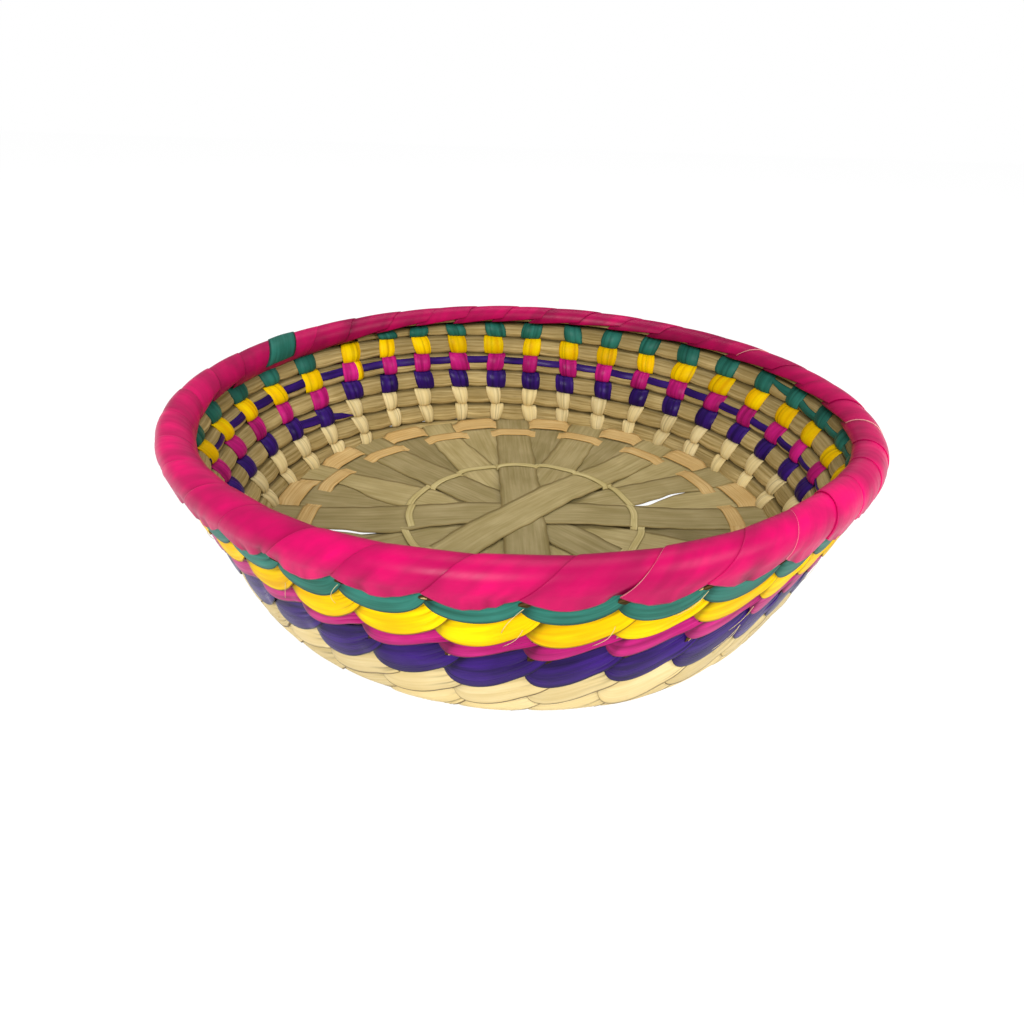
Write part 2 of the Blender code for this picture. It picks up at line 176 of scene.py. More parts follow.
def leaf_mesh(name, points, uv, tone, edge, round_rows=False, round_columns=False, flip=False):
    """A mesh of a stack of grids. points is (patches, rows, columns, 3), the rest match it."""
    patches, rows, columns, _ = points.shape
    faces = grid_faces(patches, rows, columns, round_rows, round_columns)
    if flip:
        faces = faces[:, ::-1]
    mesh = bpy.data.meshes.new(name)
    mesh.from_pydata(points.reshape(-1, 3), [], faces.tolist())
    layer = mesh.uv_layers.new(name="leaf")
    corners = np.zeros(len(mesh.loops), np.int32)
    mesh.loops.foreach_get("vertex_index", corners)
    flat_uv = np.broadcast_to(uv, (patches, rows, columns, 2)).reshape(-1, 2)
    layer.data.foreach_set("uv", flat_uv[corners].astype(np.float32).ravel())
    for label, values in (("tone", tone), ("edge", edge)):
        attribute = mesh.attributes.new(label, "FLOAT", "POINT")
        values = np.broadcast_to(values, (patches, rows, columns))
        attribute.data.foreach_set("value", values.astype(np.float32).ravel())
    mesh.polygons.foreach_set("use_smooth", np.ones(len(mesh.polygons), bool))
    mesh.update()
    piece = bpy.data.objects.new(name, mesh)
    bpy.context.scene.collection.objects.link(piece)
    return piece


print("faces of a grid of 3 by 4 points:", len(grid_faces(1, 3, 4, False, False)))


# %% What every piece of leaf gets
def thicken(piece, thickness):
    """Gives a sheet of leaf its thickness, on the side away from the eye."""
    solid = piece.modifiers.new("leaf thickness", "SOLIDIFY")
    solid.thickness = thickness
    solid.offset = -1.0
    return piece


def dress(piece, finish, slot, *nodes):
    """Finish and body of a piece, and the CAD nodes that it stands for; the slot is not used."""
    piece.data.materials.append(finish)
    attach(piece, "root")
    if nodes:
        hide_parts(*nodes)
    return piece


def strip_uv(along, across):
    """UV of a strip, in metres along and across it."""
    return np.stack(np.broadcast_arrays(along, across), -1)


# %% [markdown]
# ## Dyed and dry palm leaf
# Palm leaf is a flat blade with fine ribs along it. Dye takes unevenly from rib to rib, the
# rim's cut edges keep their own pale colour, and the waxy skin gives a soft broken shine. So one
# material function serves every leaf: ribs from a noise that is stretched along the strip, a
# slow change of colour over the basket, a tone for each strip that also carries painted shade,
# cut edges that are pale on the rim and painted dark as shade on the other leaves, and a bump
# from the same ribs. Only the colours, the width of the ribs and the shine differ from leaf to
# leaf.

# %% Colours and nodes
def linear(text):
    """Linear colour of an sRGB hex value: c / 12.92 to 0.04045, else ((c + 0.055) / 1.055)^2.4."""
    values = np.array([int(text[place:place + 2], 16) for place in (1, 3, 5)]) / 255.0
    values = np.where(values <= 0.04045, values / 12.92, ((values + 0.055) / 1.055) ** 2.4)
    return (*values.tolist(), 1.0)


def add(tree, kind, settings=(), **inputs):
    """Adds a node. settings are its own properties, and an input is a value or another's output.

    A node often has several inputs of one name, so _3 stands for the input with number 3.
    """
    made = tree.nodes.new(kind)
    for label, value in dict(settings).items():
        setattr(made, label, value)
    for label, value in inputs.items():
        socket = made.inputs[int(label[1:])] if label[0] == "_" else made.inputs[label]
        if isinstance(value, bpy.types.NodeSocket):
            tree.links.new(value, socket)
        else:
            socket.default_value = value
    return made


def blend_colour(tree, share, first, second, mode="MIX"):
    """The output of a colour mix of two colours or outputs."""
    settings = {"data_type": "RGBA", "blend_type": mode}
    return add(tree, "ShaderNodeMix", settings, _0=share, _6=first, _7=second).outputs[2]


def scaled(tree, value, low, high, to_low, to_high):
    """The output of a clamped change of range."""
    made = add(tree, "ShaderNodeMapRange", {}, _0=value, _1=low, _2=high, _3=to_low, _4=to_high)
    return made.outputs[0]


def stretched_noise(tree, uv, length, width, **detail):
    """The output of a noise whose spots are a length long and a width across the strip."""
    spots = add(tree, "ShaderNodeMapping", {}, Vector=uv, Scale=(1 / length, 1 / width, 1.0)).outputs[0]
    return add(tree, "ShaderNodeTexNoise", {}, Vector=spots, Scale=1.0, **detail).outputs[0]


print("straw in linear colour:", [round(value, 3) for value in linear("#CDB680")])

# %% One palm-leaf finish
# Real sizes: how long a rib and a streak stay the same, a streak's width in ribs, a patch of
# dye, and how high a rib stands
RIB_LENGTH, STREAK_LENGTH, STREAK_RIBS = 30 * MM, 22 * MM, 3.5
DYE_PATCH = 14 * MM
RIB_RELIEF = 0.25 * MM


def leaf_colour(tree, ribs, uv, leaf, shade, edge_lines_and_shade_colour, rib, fine, edge_lines_and_shade_share, streak, mottle):
    """Leaf colour over shade by ribs and streaks, dye patches, times the tone, then the edge colour."""
    streaks = stretched_noise(tree, uv, STREAK_LENGTH, STREAK_RIBS * rib, Detail=2.0)
    place = add(tree, "ShaderNodeTexCoord").outputs["Object"]
    patches = add(tree, "ShaderNodeTexNoise", {}, Vector=place, Scale=1 / DYE_PATCH, Detail=3.0).outputs[0]
    tone = add(tree, "ShaderNodeAttribute", {"attribute_name": "tone"}).outputs["Fac"]
    edge = add(tree, "ShaderNodeAttribute", {"attribute_name": "edge"}).outputs["Fac"]
    rib_share = scaled(tree, ribs, 0.35, 0.7, 1.0 - streak, 1.0)
    streak_share = scaled(tree, streaks, 0.3, 0.6, 1.0 - streak, 1.0)
    settings = {"data_type": "FLOAT"}
    share = add(tree, "ShaderNodeMix", settings, _0=fine, _2=streak_share, _3=rib_share).outputs[0]
    colour = blend_colour(tree, share, linear(shade), linear(leaf))
    patch_share = scaled(tree, patches, 0.35, 0.65, mottle, 0.0)
    colour = blend_colour(tree, patch_share, colour, linear(shade))
    # The tone holds random differences and the painted shade of folds, gaps and hollows; it scales the colour
    light = scaled(tree, tone, -0.8, 1.0, 0.2, 1.12)
    grey = add(tree, "ShaderNodeCombineColor", {}, _0=light, _1=light, _2=light).outputs[0]
    colour = blend_colour(tree, 1.0, colour, grey, "MULTIPLY")
    # The edge colour shows at cut edges: the rim's pale undyed lines, and painted shade along the other
    # leaves' edges
    edge_lines_and_shade = add(tree, "ShaderNodeMath", {"operation": "MULTIPLY_ADD"}, _0=ribs, _1=0.35, _2=edge)
    edge_lines_and_shade = scaled(tree, edge_lines_and_shade.outputs[0], 1.04, 1.14, 0.0, edge_lines_and_shade_share)
    return blend_colour(tree, edge_lines_and_shade, colour, linear(edge_lines_and_shade_colour))


def palm_leaf(name, leaf, shade, edge_lines_and_shade_colour, shine, rib=0.7 * MM, fine=1.0, edge_lines_and_shade_share=0.6,
              bump=0.5, gloss=0.14, streak=1.0, mottle=0.45):
    """A palm-leaf material.

    shine is the roughness and gloss the specular level. rib is a rib's width, and fine says how
    far ribs and not broad streaks show. streak and mottle are the depth of the streaks and of
    the dye's patches, and bump the relief of the ribs. The edge share is how far the edge colour
    shows at a cut edge: the rim's pale undyed lines, and painted shade along the other leaves' edges.
    """
    made = bpy.data.materials.new(name)
    made.use_nodes = True
    tree = made.node_tree
    shader = tree.nodes["Principled BSDF"]
    uv = add(tree, "ShaderNodeUVMap", {"uv_map": "leaf"}).outputs[0]
    ribs = stretched_noise(tree, uv, RIB_LENGTH, rib, Detail=4.0, Roughness=0.6)
    colour = leaf_colour(tree, ribs, uv, leaf, shade, edge_lines_and_shade_colour, rib, fine, edge_lines_and_shade_share, streak, mottle)
    rough = scaled(tree, ribs, 0.3, 0.75, shine + 0.12, shine - 0.05)
    relief = add(tree, "ShaderNodeBump", {}, Strength=bump, Distance=RIB_RELIEF, Height=ribs).outputs[0]
    shader.inputs["Specular IOR Level"].default_value = gloss
    tree.links.new(colour, shader.inputs["Base Color"])
    tree.links.new(rough, shader.inputs["Roughness"])
    tree.links.new(relief, shader.inputs["Normal"])
    return made


# %% The finishes of this basket
DULL = {"rib": 0.9 * MM, "gloss": 0.06}
FLAT = {"rib": 1.3 * MM, "fine": 0.6, "bump": 0.25, "gloss": 0.1}
SATIN = {"fine": 0.5, "edge_lines_and_shade_share": 0.9, "bump": 0.3}
DYED = {"fine": 0.2, "edge_lines_and_shade_share": 0.9, "bump": 0.12}
WIDE = {"rib": 2.4 * MM, "fine": 0.15, "edge_lines_and_shade_share": 0.8, "bump": 0.1, "streak": 0.65, "mottle": 0.5}
finishes = {
    # Undyed leaf, dried in the sun: olive straw, dull, with dark lines between its ribs
    "dry": palm_leaf("dry palm leaf", "#CDB680", "#8F7947", "#CDB680", 0.62, **DULL),
    # Floor blades, cut wide and left flat: grey olive with a faint gloss, darker along the cut edges as
    # painted shade
    "floor": palm_leaf("flat floor palm leaf", "#B6A578", "#8E7F50", "#7E6C3E", 0.5, **FLAT),
    # Painted shade: the same dry leaf made dark brown, with no shine at all, put in the gaps between stitches
    "dark": palm_leaf("painted gap shade leaf", "#6B5330", "#2E2114", "#6B5330", 0.8, bump=0.4, gloss=0.0),
    # Heart leaf, bleached: pale straw, satin, dark along its cut edges as painted shade
    "pale": palm_leaf("bleached palm leaf", "#EEDAA6", "#D5BD80", "#5A4220", 0.45, **SATIN),
    # The same leaf cut narrow for twining: warmer on the floor, greener where it is not bleached
    "twine": palm_leaf("bleached palm leaf twine", "#E3C68C", "#C09A5B", "#B98E4B", 0.5),
    "ring": palm_leaf("narrow dry palm leaf twine", "#DACA95", "#B09E62", "#8A7A44", 0.5),
    # Aniline dye on heart leaf: deep colour, waxy shine, and dark edges that are painted shade
    "purple": palm_leaf("purple dyed leaf", "#3E1C7C", "#1C0B3E", "#150A26", 0.26, gloss=0.1, **DYED),
    "pink": palm_leaf("pink dyed leaf", "#D22082", "#900A54", "#4A0A2C", 0.32, gloss=0.1, **DYED),
    "yellow": palm_leaf("yellow dyed leaf", "#FFDC00", "#E6A800", "#8C6A12", 0.4, gloss=0.05, **DYED),
    "green": palm_leaf("green dyed leaf", "#358072", "#1B5546", "#12302A", 0.38, gloss=0.1, **DYED),
    # The rim's wide strip: the same dye, with pale undyed lines at its cut edges
    "magenta": palm_leaf("magenta rim leaf", "#E20467", "#9A124A", "#F2B4AC", 0.32, gloss=0.12, **WIDE),
}
print("finishes:", ", ".join(finishes))

# %% [markdown]
# ## The bundle inside the wall
# Between the stitches the inside of the basket shows its foundation: a bundle of narrow dry
# leaves, about 8 mm high, pulled tight under every stitch and swelling between them. One
# turn of it is a tube carried along the coil. Its section is a rounded box, and the leaves
# are ridges on it that wander slowly round the tube, with sharp creases between them. Painted
# shade darkens the tone in the creases, and in the grooves where one turn lies on the next.

# %% One turn of the bundle
# Section: how far it stands in and out, half its height in rows, and its power, 1 for round
BUNDLE_IN = 3.1 * MM
BUNDLE_OUT = 1.1 * MM
BUNDLE_HALF_HEIGHT = 0.5
BUNDLE_POWER = 0.88
BUNDLE_LEAVES = 8
LEAF_RELIEF = 0.2 * MM
# Broad leaves and narrow ones: how they wander round the tube, and the broad ones' share
LEAF_WAVES, SECOND_WAVES = (3.3, 5.7, 8.1, 13.4), (4.2, 7.3, 11.6)
LEAF_WANDER, SECOND_WANDER, BROAD_SHARE = 1.2, 1.4, 0.65
LEAF_PHASES, SECOND_PHASES = rng.uniform(0.0, 2 * np.pi, 4), rng.uniform(0.0, 2 * np.pi, 3)
CREASE_MEAN = 0.75
# Base tone, the leaves' tones, and the painted shade in the creases and in the grooves between turns
BUNDLE_TONE, LEAF_TONES, CREASE_PAINTED_SHADE, GROOVE_PAINTED_SHADE = 0.65, 0.3, 0.6, 1.0
STITCH_PULL = 0.5 * MM
RIB_RADIUS = 4 * MM
TURN_POINTS = 620
SECTION_POINTS = 72


def rounded(turn_round, power):
    """Cosine and sine of a superellipse, |cos|^p and |sin|^p with their signs."""
    across, up = np.cos(turn_round), np.sin(turn_round)
    return np.sign(across) * np.abs(across) ** power, np.sign(up) * np.abs(up) ** power


def stitch_wave(angle):
    """cos(360° n) for stitch number n: 1 under a stitch, -1 halfway to the next."""
    return np.cos(np.radians((angle - FIRST_STITCH) / STEP * 360.0))


def turn_ends(turn):
    """Start and end angle of a turn, as in the CAD model."""
    start, end = FIRST_STITCH + 1.5 * STEP, FIRST_STITCH + 1.5 * STEP + 360.0
    if turn == 0:
        start -= 8 * STEP
    if turn == ROWS - 1:
        end -= STEP
    return start, end


def bundle(turn):
    """A rounded box along the coil: out = side (d + grow), level = middle + up h (0.5 + grow).

    grow = relief (0.65 |sin a|^½ + 0.35 |sin b|^½ - 0.75) - pull cos(360° n), where a and b go
    round the tube with the broad and the narrow leaves.
    """
    start, end = turn_ends(turn)
    angle = np.linspace(start, end, TURN_POINTS)[:, None]
    around = np.linspace(0.0, 2 * np.pi, SECTION_POINTS, endpoint=False)[None, :]
    middle, height = row_span(turn, angle)
    side, up = rounded(around, BUNDLE_POWER)
    coil = angle + 360.0 * turn
    broad = around * BUNDLE_LEAVES / 2 + wander(coil, LEAF_WAVES, LEAF_WANDER, LEAF_PHASES)
    narrow = around * (BUNDLE_LEAVES + 4) / 2 + wander(coil, SECOND_WAVES, SECOND_WANDER, SECOND_PHASES)
    crease = BROAD_SHARE * np.abs(np.sin(broad)) ** 0.5 - CREASE_MEAN
    crease = crease + (1.0 - BROAD_SHARE) * np.abs(np.sin(narrow)) ** 0.5
    grow = LEAF_RELIEF * crease - STITCH_PULL * stitch_wave(angle)
    depth = np.where(side > 0, BUNDLE_OUT, BUNDLE_IN) * np.minimum(height, 1.0) ** 0.5
    out = side * (depth + grow)
    level = middle + up * height * (BUNDLE_HALF_HEIGHT + 0.6 * grow / ROW_RISE)
    points = wall(angle, level, out)
    uv = strip_uv(np.radians(coil) * FIRST_ROW_RADIUS, around * RIB_RADIUS)
    # Painted shade: darker in the deep creases and in the grooves where one turn lies on the next
    deep = smooth((-0.2 - crease) / 0.45)
    groove = smooth((np.abs(up) - 0.66) / 0.3)
    tone = BUNDLE_TONE + LEAF_TONES * np.sin(broad * 0.5) - CREASE_PAINTED_SHADE * deep - GROOVE_PAINTED_SHADE * groove
    name = f"leaf_bundle_{turn + 1}"
    return leaf_mesh(name, points[None], uv[None], tone[None], 0.3, round_columns=True, flip=True)


for turn in range(ROWS):
    dress(bundle(turn), finishes["dry"], "dry_palm", f"core_turn_{turn + 1}")
print("bundle turns:", ROWS, "with", BUNDLE_LEAVES, "leaves showing round each")

# %% [markdown]
# ## The stitches
# A stitch is one winding of a coloured strip round the bundle. Inside it is a narrow upright
# block, pulled tight, and outside it is a broad petal. A block could be a bent cube, but then
# its folds and its lean would need modelling by hand, one by one. So a block is a grid on the
# map of the wall: down the grid the leaf swings out round the bundle, and across it the leaf
# is crowned, with a few folds where it is pinched. Random numbers make each one its own.

# %% Folds, and blocks inside
# A barrel is wider in its middle by this share, and the upper blocks lean at the left back
BLOCK_ROWS, BLOCK_COLUMNS = 15, 17
BLOCK_OUT = 3.9 * MM
LEAF_THICKNESS = 0.4 * MM
BARREL = 0.22
LEFT_LEAN, LEFT_LEAN_AT, LEFT_LEAN_REACH = 2.4, 134.0, 12.0
BLOCK_CLEAR, BLOCK_UNEVEN = 0.3 * MM, 0.35 * MM
CREASES = 5
CREASE_DEPTH = 0.45 * MM
CREASE_WIDTH = 0.035


def stitch_columns(turn):
    """The numbers of the stitches that a turn holds."""
    first = 0 if turn == 0 else 1
    last = STITCHES if turn == ROWS - 1 else STITCHES + 1
    return np.arange(first, last)


def creases(along, across, count):
    """Folds that run out of a pinched end: the sum of depth grow(u) exp(-((v - vk) / w)²)."""
    total = 0.0
    for number in range(CREASES):
        middle = rng.uniform(0.1, 0.9, (count, 1, 1))
        depth = rng.uniform(0.0, 1.0, (count, 1, 1))
        start = rng.uniform(0.45, 0.8, (count, 1, 1))
        grow = smooth((along - start) / (1.0 - start))
        total = total + depth * grow * np.exp(-((across - middle) / CREASE_WIDTH) ** 2)
    return total


def blocks(turn, width_share, foot_share, columns=None, aside=0.0, proud=0.0):
    """Pillows on the inner face, barrel-shaped, narrower at the foot and a little askew.

    Level = middle + 0.51 h cos(swing), out = folds - clear - depth sin(swing)^0.72 crown, where
    crown = 1 - 0.4 |u|^2.4 and the swing goes from 0.06 π above the bundle to 0.94 π below it.
    """
    columns = stitch_columns(turn) + 1 if columns is None else np.array(columns)
    shape = (len(columns), 1, 1)
    across = np.linspace(-1.0, 1.0, BLOCK_COLUMNS)[None, None, :]
    down = np.linspace(0.0, 1.0, BLOCK_ROWS)[None, :, None]
    width = width_share * (1 + rng.uniform(-0.12, 0.12, shape))
    taper = 1 - (1 - foot_share * (1 + rng.uniform(-0.1, 0.1, shape))) * smooth(down)
    taper = taper + BARREL * (np.sin(np.pi * down) - 0.6)
    skew = rng.uniform(-0.12, 0.12, shape) * (down - 0.5)
    shift = aside + rng.uniform(-0.05, 0.05, shape)
    angle = column_angle(columns[:, None, None] + shift + skew - across * taper * width / 2)
    lean = LEFT_LEAN * np.clip((turn - 1) / 2.5, 0.0, 1.0)
    angle = angle - lean * bell(angle, LEFT_LEAN_AT, LEFT_LEAN_REACH)
    middle, height = row_span(turn, angle)
    swing = np.pi * (0.06 + 0.88 * down)
    level = middle + height * 0.51 * np.cos(swing)
    crown = 1.0 - 0.4 * np.abs(across) ** 2.4
    folds = creases(np.ones_like(down), (across + 1) / 2, len(columns))
    depth = BLOCK_OUT + rng.uniform(0.0, BLOCK_UNEVEN, shape)
    out = 0.6 * CREASE_DEPTH * folds - BLOCK_CLEAR - depth * np.sin(swing) ** 0.72 * crown
    points = wall(angle, level, out - proud)
    uv = strip_uv(down * 11 * MM, across * 4.5 * MM) + rng.uniform(0.0, 1.0, (*shape, 2))
    # Painted shade: a block's tone starts lower than a petal's, as the inside is in shade, and is darker in
    # its folds and at both ends, where it turns under the bundle
    ends = smooth((np.abs(2 * down - 1) - 0.75) / 0.25)
    tone = rng.uniform(0.35, 0.8, shape) - 0.7 * np.minimum(folds, 1.0) - 0.5 * ends
    return points, uv, tone, 0.5


print("a row has", len(stitch_columns(1)), "blocks of", BLOCK_ROWS * BLOCK_COLUMNS, "points")

# %% [markdown]
# ## Petals outside
# A petal starts from the foot of one column, droops over the row below like a roof tile, and
# climbs to the head of the next column. It is drawn on the map as the surface between two
# curves with handles, like the ones of a drawing program, because the shape of its lower edge
# is what the eye reads. Its height off the wall follows from the row that it lies on. Painted
# shade darkens it where it comes out from under its neighbour, as in a narrow gap, in its
# folds, and towards its upper edge under the row above.

# %% Petals outside
PETAL_ROWS, PETAL_COLUMNS = 27, 33
# How far a petal stands off the wall at each drop. The first row folds in under the floor
PETAL_OUT_AT = (-1.3, -0.9, -0.45, 0.0, 0.3, 0.6, 1.0, 1.4)
PETAL_OUT = (3.5 * MM, 3.4 * MM, 3.0 * MM, 2.5 * MM, 2.0 * MM, 1.4 * MM, 0.8 * MM, 0.5 * MM)
FOOT_LEVEL = -0.53
FOOT_OUT_AT = (-1.3, FOOT_LEVEL, -0.3, 0.0, 0.3, 0.6, 1.0, 1.4)
FOOT_OUT = (-0.5 * MM, 2.2 * MM, 2.7 * MM, 2.4 * MM, 2.0 * MM, 1.4 * MM, 0.8 * MM, 0.5 * MM)
FOOT_BULGE = 1.3 * MM
TUCK = 0.7 * MM
CROWN = 0.3 * MM
FLAG = 0.9 * MM
# Painted shade in the folds, towards the upper edge and beside the neighbour's end, and how far that last
# reaches
DYED_FOLD_PAINTED_SHADE, PALE_FOLD_PAINTED_SHADE, HEAD_PAINTED_SHADE = 1.3, 1.9, 0.5
GAP_PAINTED_SHADE, GAP_REACH = 1.2, 0.06


def arc(share, first, second, third, last):
    """A curve through first and last, drawn towards second and third.

    (1 - t)³ a + 3 (1 - t)² t b + 3 (1 - t) t² c + t³ d.
    """
    rest = 1.0 - share
    towards = 3 * rest ** 2 * share * second + 3 * rest * share ** 2 * third
    return rest ** 3 * first + towards + share ** 3 * last


def petal_map(shape, along, across, pitches, drops, head, loose):
    """Surfaces between two arcs on the map: pitch in columns, drop in rows, and the corner's pitch.

    The lower edge leaves the column, droops towards its two handles and turns up to a corner.
    The upper edge runs above it to the head, hidden under the row above.
    """
    start, first, second, corner = pitches
    tip, first_drop, second_drop, end = drops
    tip = tip + rng.uniform(-0.1, 0.1, shape)
    end = end + rng.uniform(-0.12, 0.12, shape)
    head = head + rng.uniform(-0.1, 0.1, shape)
    sag = rng.uniform(-loose, loose, shape)
    corner = corner + rng.uniform(-0.06, 0.06, shape)
    low_p = arc(along, start, first, second, corner)
    low_d = arc(along, tip, first_drop + sag, second_drop + 1.3 * sag, end)
    high_p = arc(along, start + 0.02, 0.35, 0.8, corner - 0.19)
    high_d = arc(along, tip + 0.1, 0.5, 0.65, head)
    pitch = low_p + (high_p - low_p) * across + rng.uniform(-0.03, 0.03, shape)
    return pitch, low_d + (high_d - low_d) * across, corner


def gap_shade(pitch, drop, corner):
    """Painted shade beside a neighbour: exp(-b / w), b how far right of the neighbour's slanting end a point
    lies.
    """
    beside = pitch - (corner - 1.0) * (0.3 + 0.75 * (drop + 0.4))
    return np.exp(-np.maximum(beside, 0.0) / GAP_REACH)


def petals(turn, pitches, drops, head, flag, loose):
    """Petals of a row: the map's surfaces, stood off the wall by their drop.

    They are tucked in at the start, crowned by 1 - (2v - 1)², and raised as a flag at the end.
    """
    columns = stitch_columns(turn)
    shape = (len(columns), 1, 1)
    along = np.linspace(0.0, 1.0, PETAL_ROWS)[None, :, None]
    across = np.linspace(0.0, 1.0, PETAL_COLUMNS)[None, None, :]
    pitch, drop, corner = petal_map(shape, along, across, pitches, drops, head, loose)
    shade = gap_shade(pitch, drop, corner)
    angle = column_angle(columns[:, None, None] + pitch)
    middle, height = row_span(turn, angle)
    if turn == 0:
        bulge = rng.uniform(0.0, 1.0, shape) * np.sin(np.pi * along) ** 0.7 * (1 - across)
        out = np.interp(drop, FOOT_OUT_AT, FOOT_OUT) + FOOT_BULGE * bulge
        drop = np.maximum(drop, FOOT_LEVEL)
    else:
        out = np.interp(drop, PETAL_OUT_AT, PETAL_OUT)
    tucked = 1 - smooth(along / 0.22)
    raised = smooth((along - 0.7) / 0.2) * (1 - across)
    crown = (1.0 - (2 * across - 1) ** 2) * np.sin(np.pi * along) ** 0.5
    folds = creases(along, across, len(columns))
    out = out - TUCK * tucked + flag * raised + CROWN * crown - CREASE_DEPTH * folds
    points = wall(angle, middle + height * drop, out)
    uv = strip_uv(along * 26 * MM, across * 12 * MM) + rng.uniform(0.0, 1.0, (*shape, 2))
    # Painted shade: darker in the folds, towards the edge under the row above, and beside the neighbour's end
    fold_shade = DYED_FOLD_PAINTED_SHADE if turn > 1 else PALE_FOLD_PAINTED_SHADE
    tone = rng.uniform(0.6, 1.0, shape) - fold_shade * np.minimum(folds, 1.0)
    tone = tone - HEAD_PAINTED_SHADE * smooth((across - 0.55) / 0.45) - GAP_PAINTED_SHADE * shade
    return points, uv, tone, np.abs(2 * across - 1) * np.ones_like(along)


print("a petal has", PETAL_ROWS * PETAL_COLUMNS, "points")

# %% Six rows of stitches
# Finish, node, slot, width and foot of a block, then the pitches and drops of a petal's lower
# edge, its head, flag and looseness. They were measured on the front of the basket.
ROW_LOOKS = (
    ("pale", "pale_wrap_1", "pale_palm", 0.40, 0.6,
     ((0.1, 0.18, 1.02, 1.42), (-0.1, -1.7, -0.95, 0.1), 0.9, FLAG / 2, 0.3)),
    ("pale", "pale_wrap_2", "pale_palm", 0.42, 0.6,
     ((0.12, 0.18, 1.06, 1.44), (-0.3, -1.96, -0.9, 0.1), 0.9, FLAG, 0.3)),
    ("purple", "purple_wrap", "purple_palm", 0.46, 0.9,
     ((0.07, 0.13, 0.97, 1.35), (0.15, -1.8, -0.78, 0.53), 1.1, FLAG, 0.15)),
    ("pink", "pink_wrap", "pink_palm", 0.42, 0.95,
     ((0.05, 0.14, 0.87, 1.32), (0.3, -1.4, 0.05, 0.48), 1.0, FLAG, 0.12)),
    ("yellow", "yellow_wrap", "yellow_palm", 0.46, 0.95,
     ((0.02, 0.17, 0.92, 1.28), (0.2, -1.25, -0.78, 0.58), 1.07, FLAG, 0.15)),
    ("green", "green_wrap", "green_palm", 0.45, 0.95,
     ((-0.04, 0.06, 0.89, 1.13), (0.26, -0.85, -1.05, 0.5), 0.7, 0.0, 0.1)),
)


def join(name, parts):
    """Makes several objects one mesh, in the order given."""
    for part in bpy.context.selected_objects:
        part.select_set(False)
    for part in parts:
        part.select_set(True)
    bpy.context.view_layer.objects.active = parts[0]
    bpy.ops.object.join()
    parts[0].name = name
    parts[0].data.name = name
    return parts[0]


for turn, (colour, node, slot, width, foot, petal) in enumerate(ROW_LOOKS):
    inside = leaf_mesh("inside", *blocks(turn, width, foot))
    outside = leaf_mesh("outside", *petals(turn, *petal))
    row = thicken(join(f"{node}_stitches", [inside, outside]), LEAF_THICKNESS)
    dress(row, finishes[colour], slot, node)
    print(node, len(stitch_columns(turn)), "stitches")

# %% [markdown]
# ## The rim
# The rim is a thicker bundle with a wide magenta strip wound round it, one winding for each
# column. The strip leaves the outside at a slant, crosses the top and comes down inside, and
# each winding covers the edge of the last one. So a winding is a patch on a tube: one
# parameter runs round the tube and carries the patch along the rim as it goes, and the other
# runs across the strip and lifts its first edge over its neighbour.

# %% The wound rim
# Degrees round the tube count from outside over the top: where a winding starts between two
# nodes and at a node, where it ends inside, and by how much more or less at some directions
RIM_ROWS = 41
RIM_ACROSS = np.concatenate([[0.0, 0.012, 0.03], np.linspace(0.07, 1.0, 14)])
RIM_LOW, RIM_NODE = -72.0, -27.0
RIM_END, RIM_END_DROP = 168.0, 24.0
RIM_GAP_AT, RIM_GAP_REACH, RIM_GAP_COVER = 143.0, 18.0, 52.0
RIM_SHORT, RIM_SHORT_AT, RIM_SHORT_REACH = 36.0, 326.0, 15.0
RIM_LEAVES, RIM_LEAN = -20.0, 15.0
# Columns to the side for each degree round the tube, the strip's width in columns, its lift
RIM_SLANT = 1.0 / 246.0
RIM_STRIP = 1.2
RIM_LIFT, RIM_CROWN, RIM_SINK, RIM_UNEVEN = 0.5 * MM, 0.3 * MM, 0.05 * MM, 0.15 * MM
RIM_CORE_INSET, RIM_CORE_FLAT = 0.9 * MM, 0.25
TUBE_RADIUS = 4.6 * MM
# Where the rim is fatter: direction, reach and by how much
TUBE_SWELLS = ((190.0, 40.0, 0.9 * MM), (325.0, 20.0, 1.0 * MM))
TUBE_MIDDLE = RIM_RADIUS
TUBE_HEIGHT = 51.9 * MM
# Tone of the windings: direction, reach and change, for the bright sides and the dull back right
RIM_TONES = ((208.0, 24.0, 0.4), (317.0, 17.0, 0.4), (40.0, 32.0, -0.35))
PALE_EDGE_AT = 330.0


def tube_radius(angle):
    """Radius of the rim's tube, fatter at both sides: r plus the sum of swell times bell."""
    return TUBE_RADIUS + sum(swell * bell(angle, at, reach) for at, reach, swell in TUBE_SWELLS)


def around_rim(around, reach):
    """Offsets from the tube's middle: round it down to one angle, then straight along the wall."""
    turn = np.radians(np.maximum(around, RIM_LEAVES))
    hang = reach * np.radians(np.maximum(RIM_LEAVES - around, 0.0))
    lean = math.radians(RIM_LEAN)
    return reach * np.cos(turn) - hang * math.sin(lean), reach * np.sin(turn) - hang * math.cos(lean)


def winding_reach(shape, columns, across):
    """Where the windings start below and end inside, in degrees round the tube.

    The start hangs between two nodes as sin(π t). It is short at the right, and the end
    reaches further where the top row leaves a gap under the rim.
    """
    angle = (columns + across) * STEP + FIRST_STITCH
    hang = np.sin(np.pi * np.clip(across * RIM_STRIP, 0.0, 1.0))
    lowest = RIM_LOW + RIM_SHORT * bell(angle, RIM_SHORT_AT, RIM_SHORT_REACH) + rng.uniform(-5.0, 5.0, shape)
    end = RIM_END + RIM_END_DROP * np.minimum(across * RIM_STRIP, 1.0) + rng.uniform(-6.0, 6.0, shape)
    return RIM_NODE + (lowest - RIM_NODE) * hang, end + RIM_GAP_COVER * bell(angle, RIM_GAP_AT, RIM_GAP_REACH)


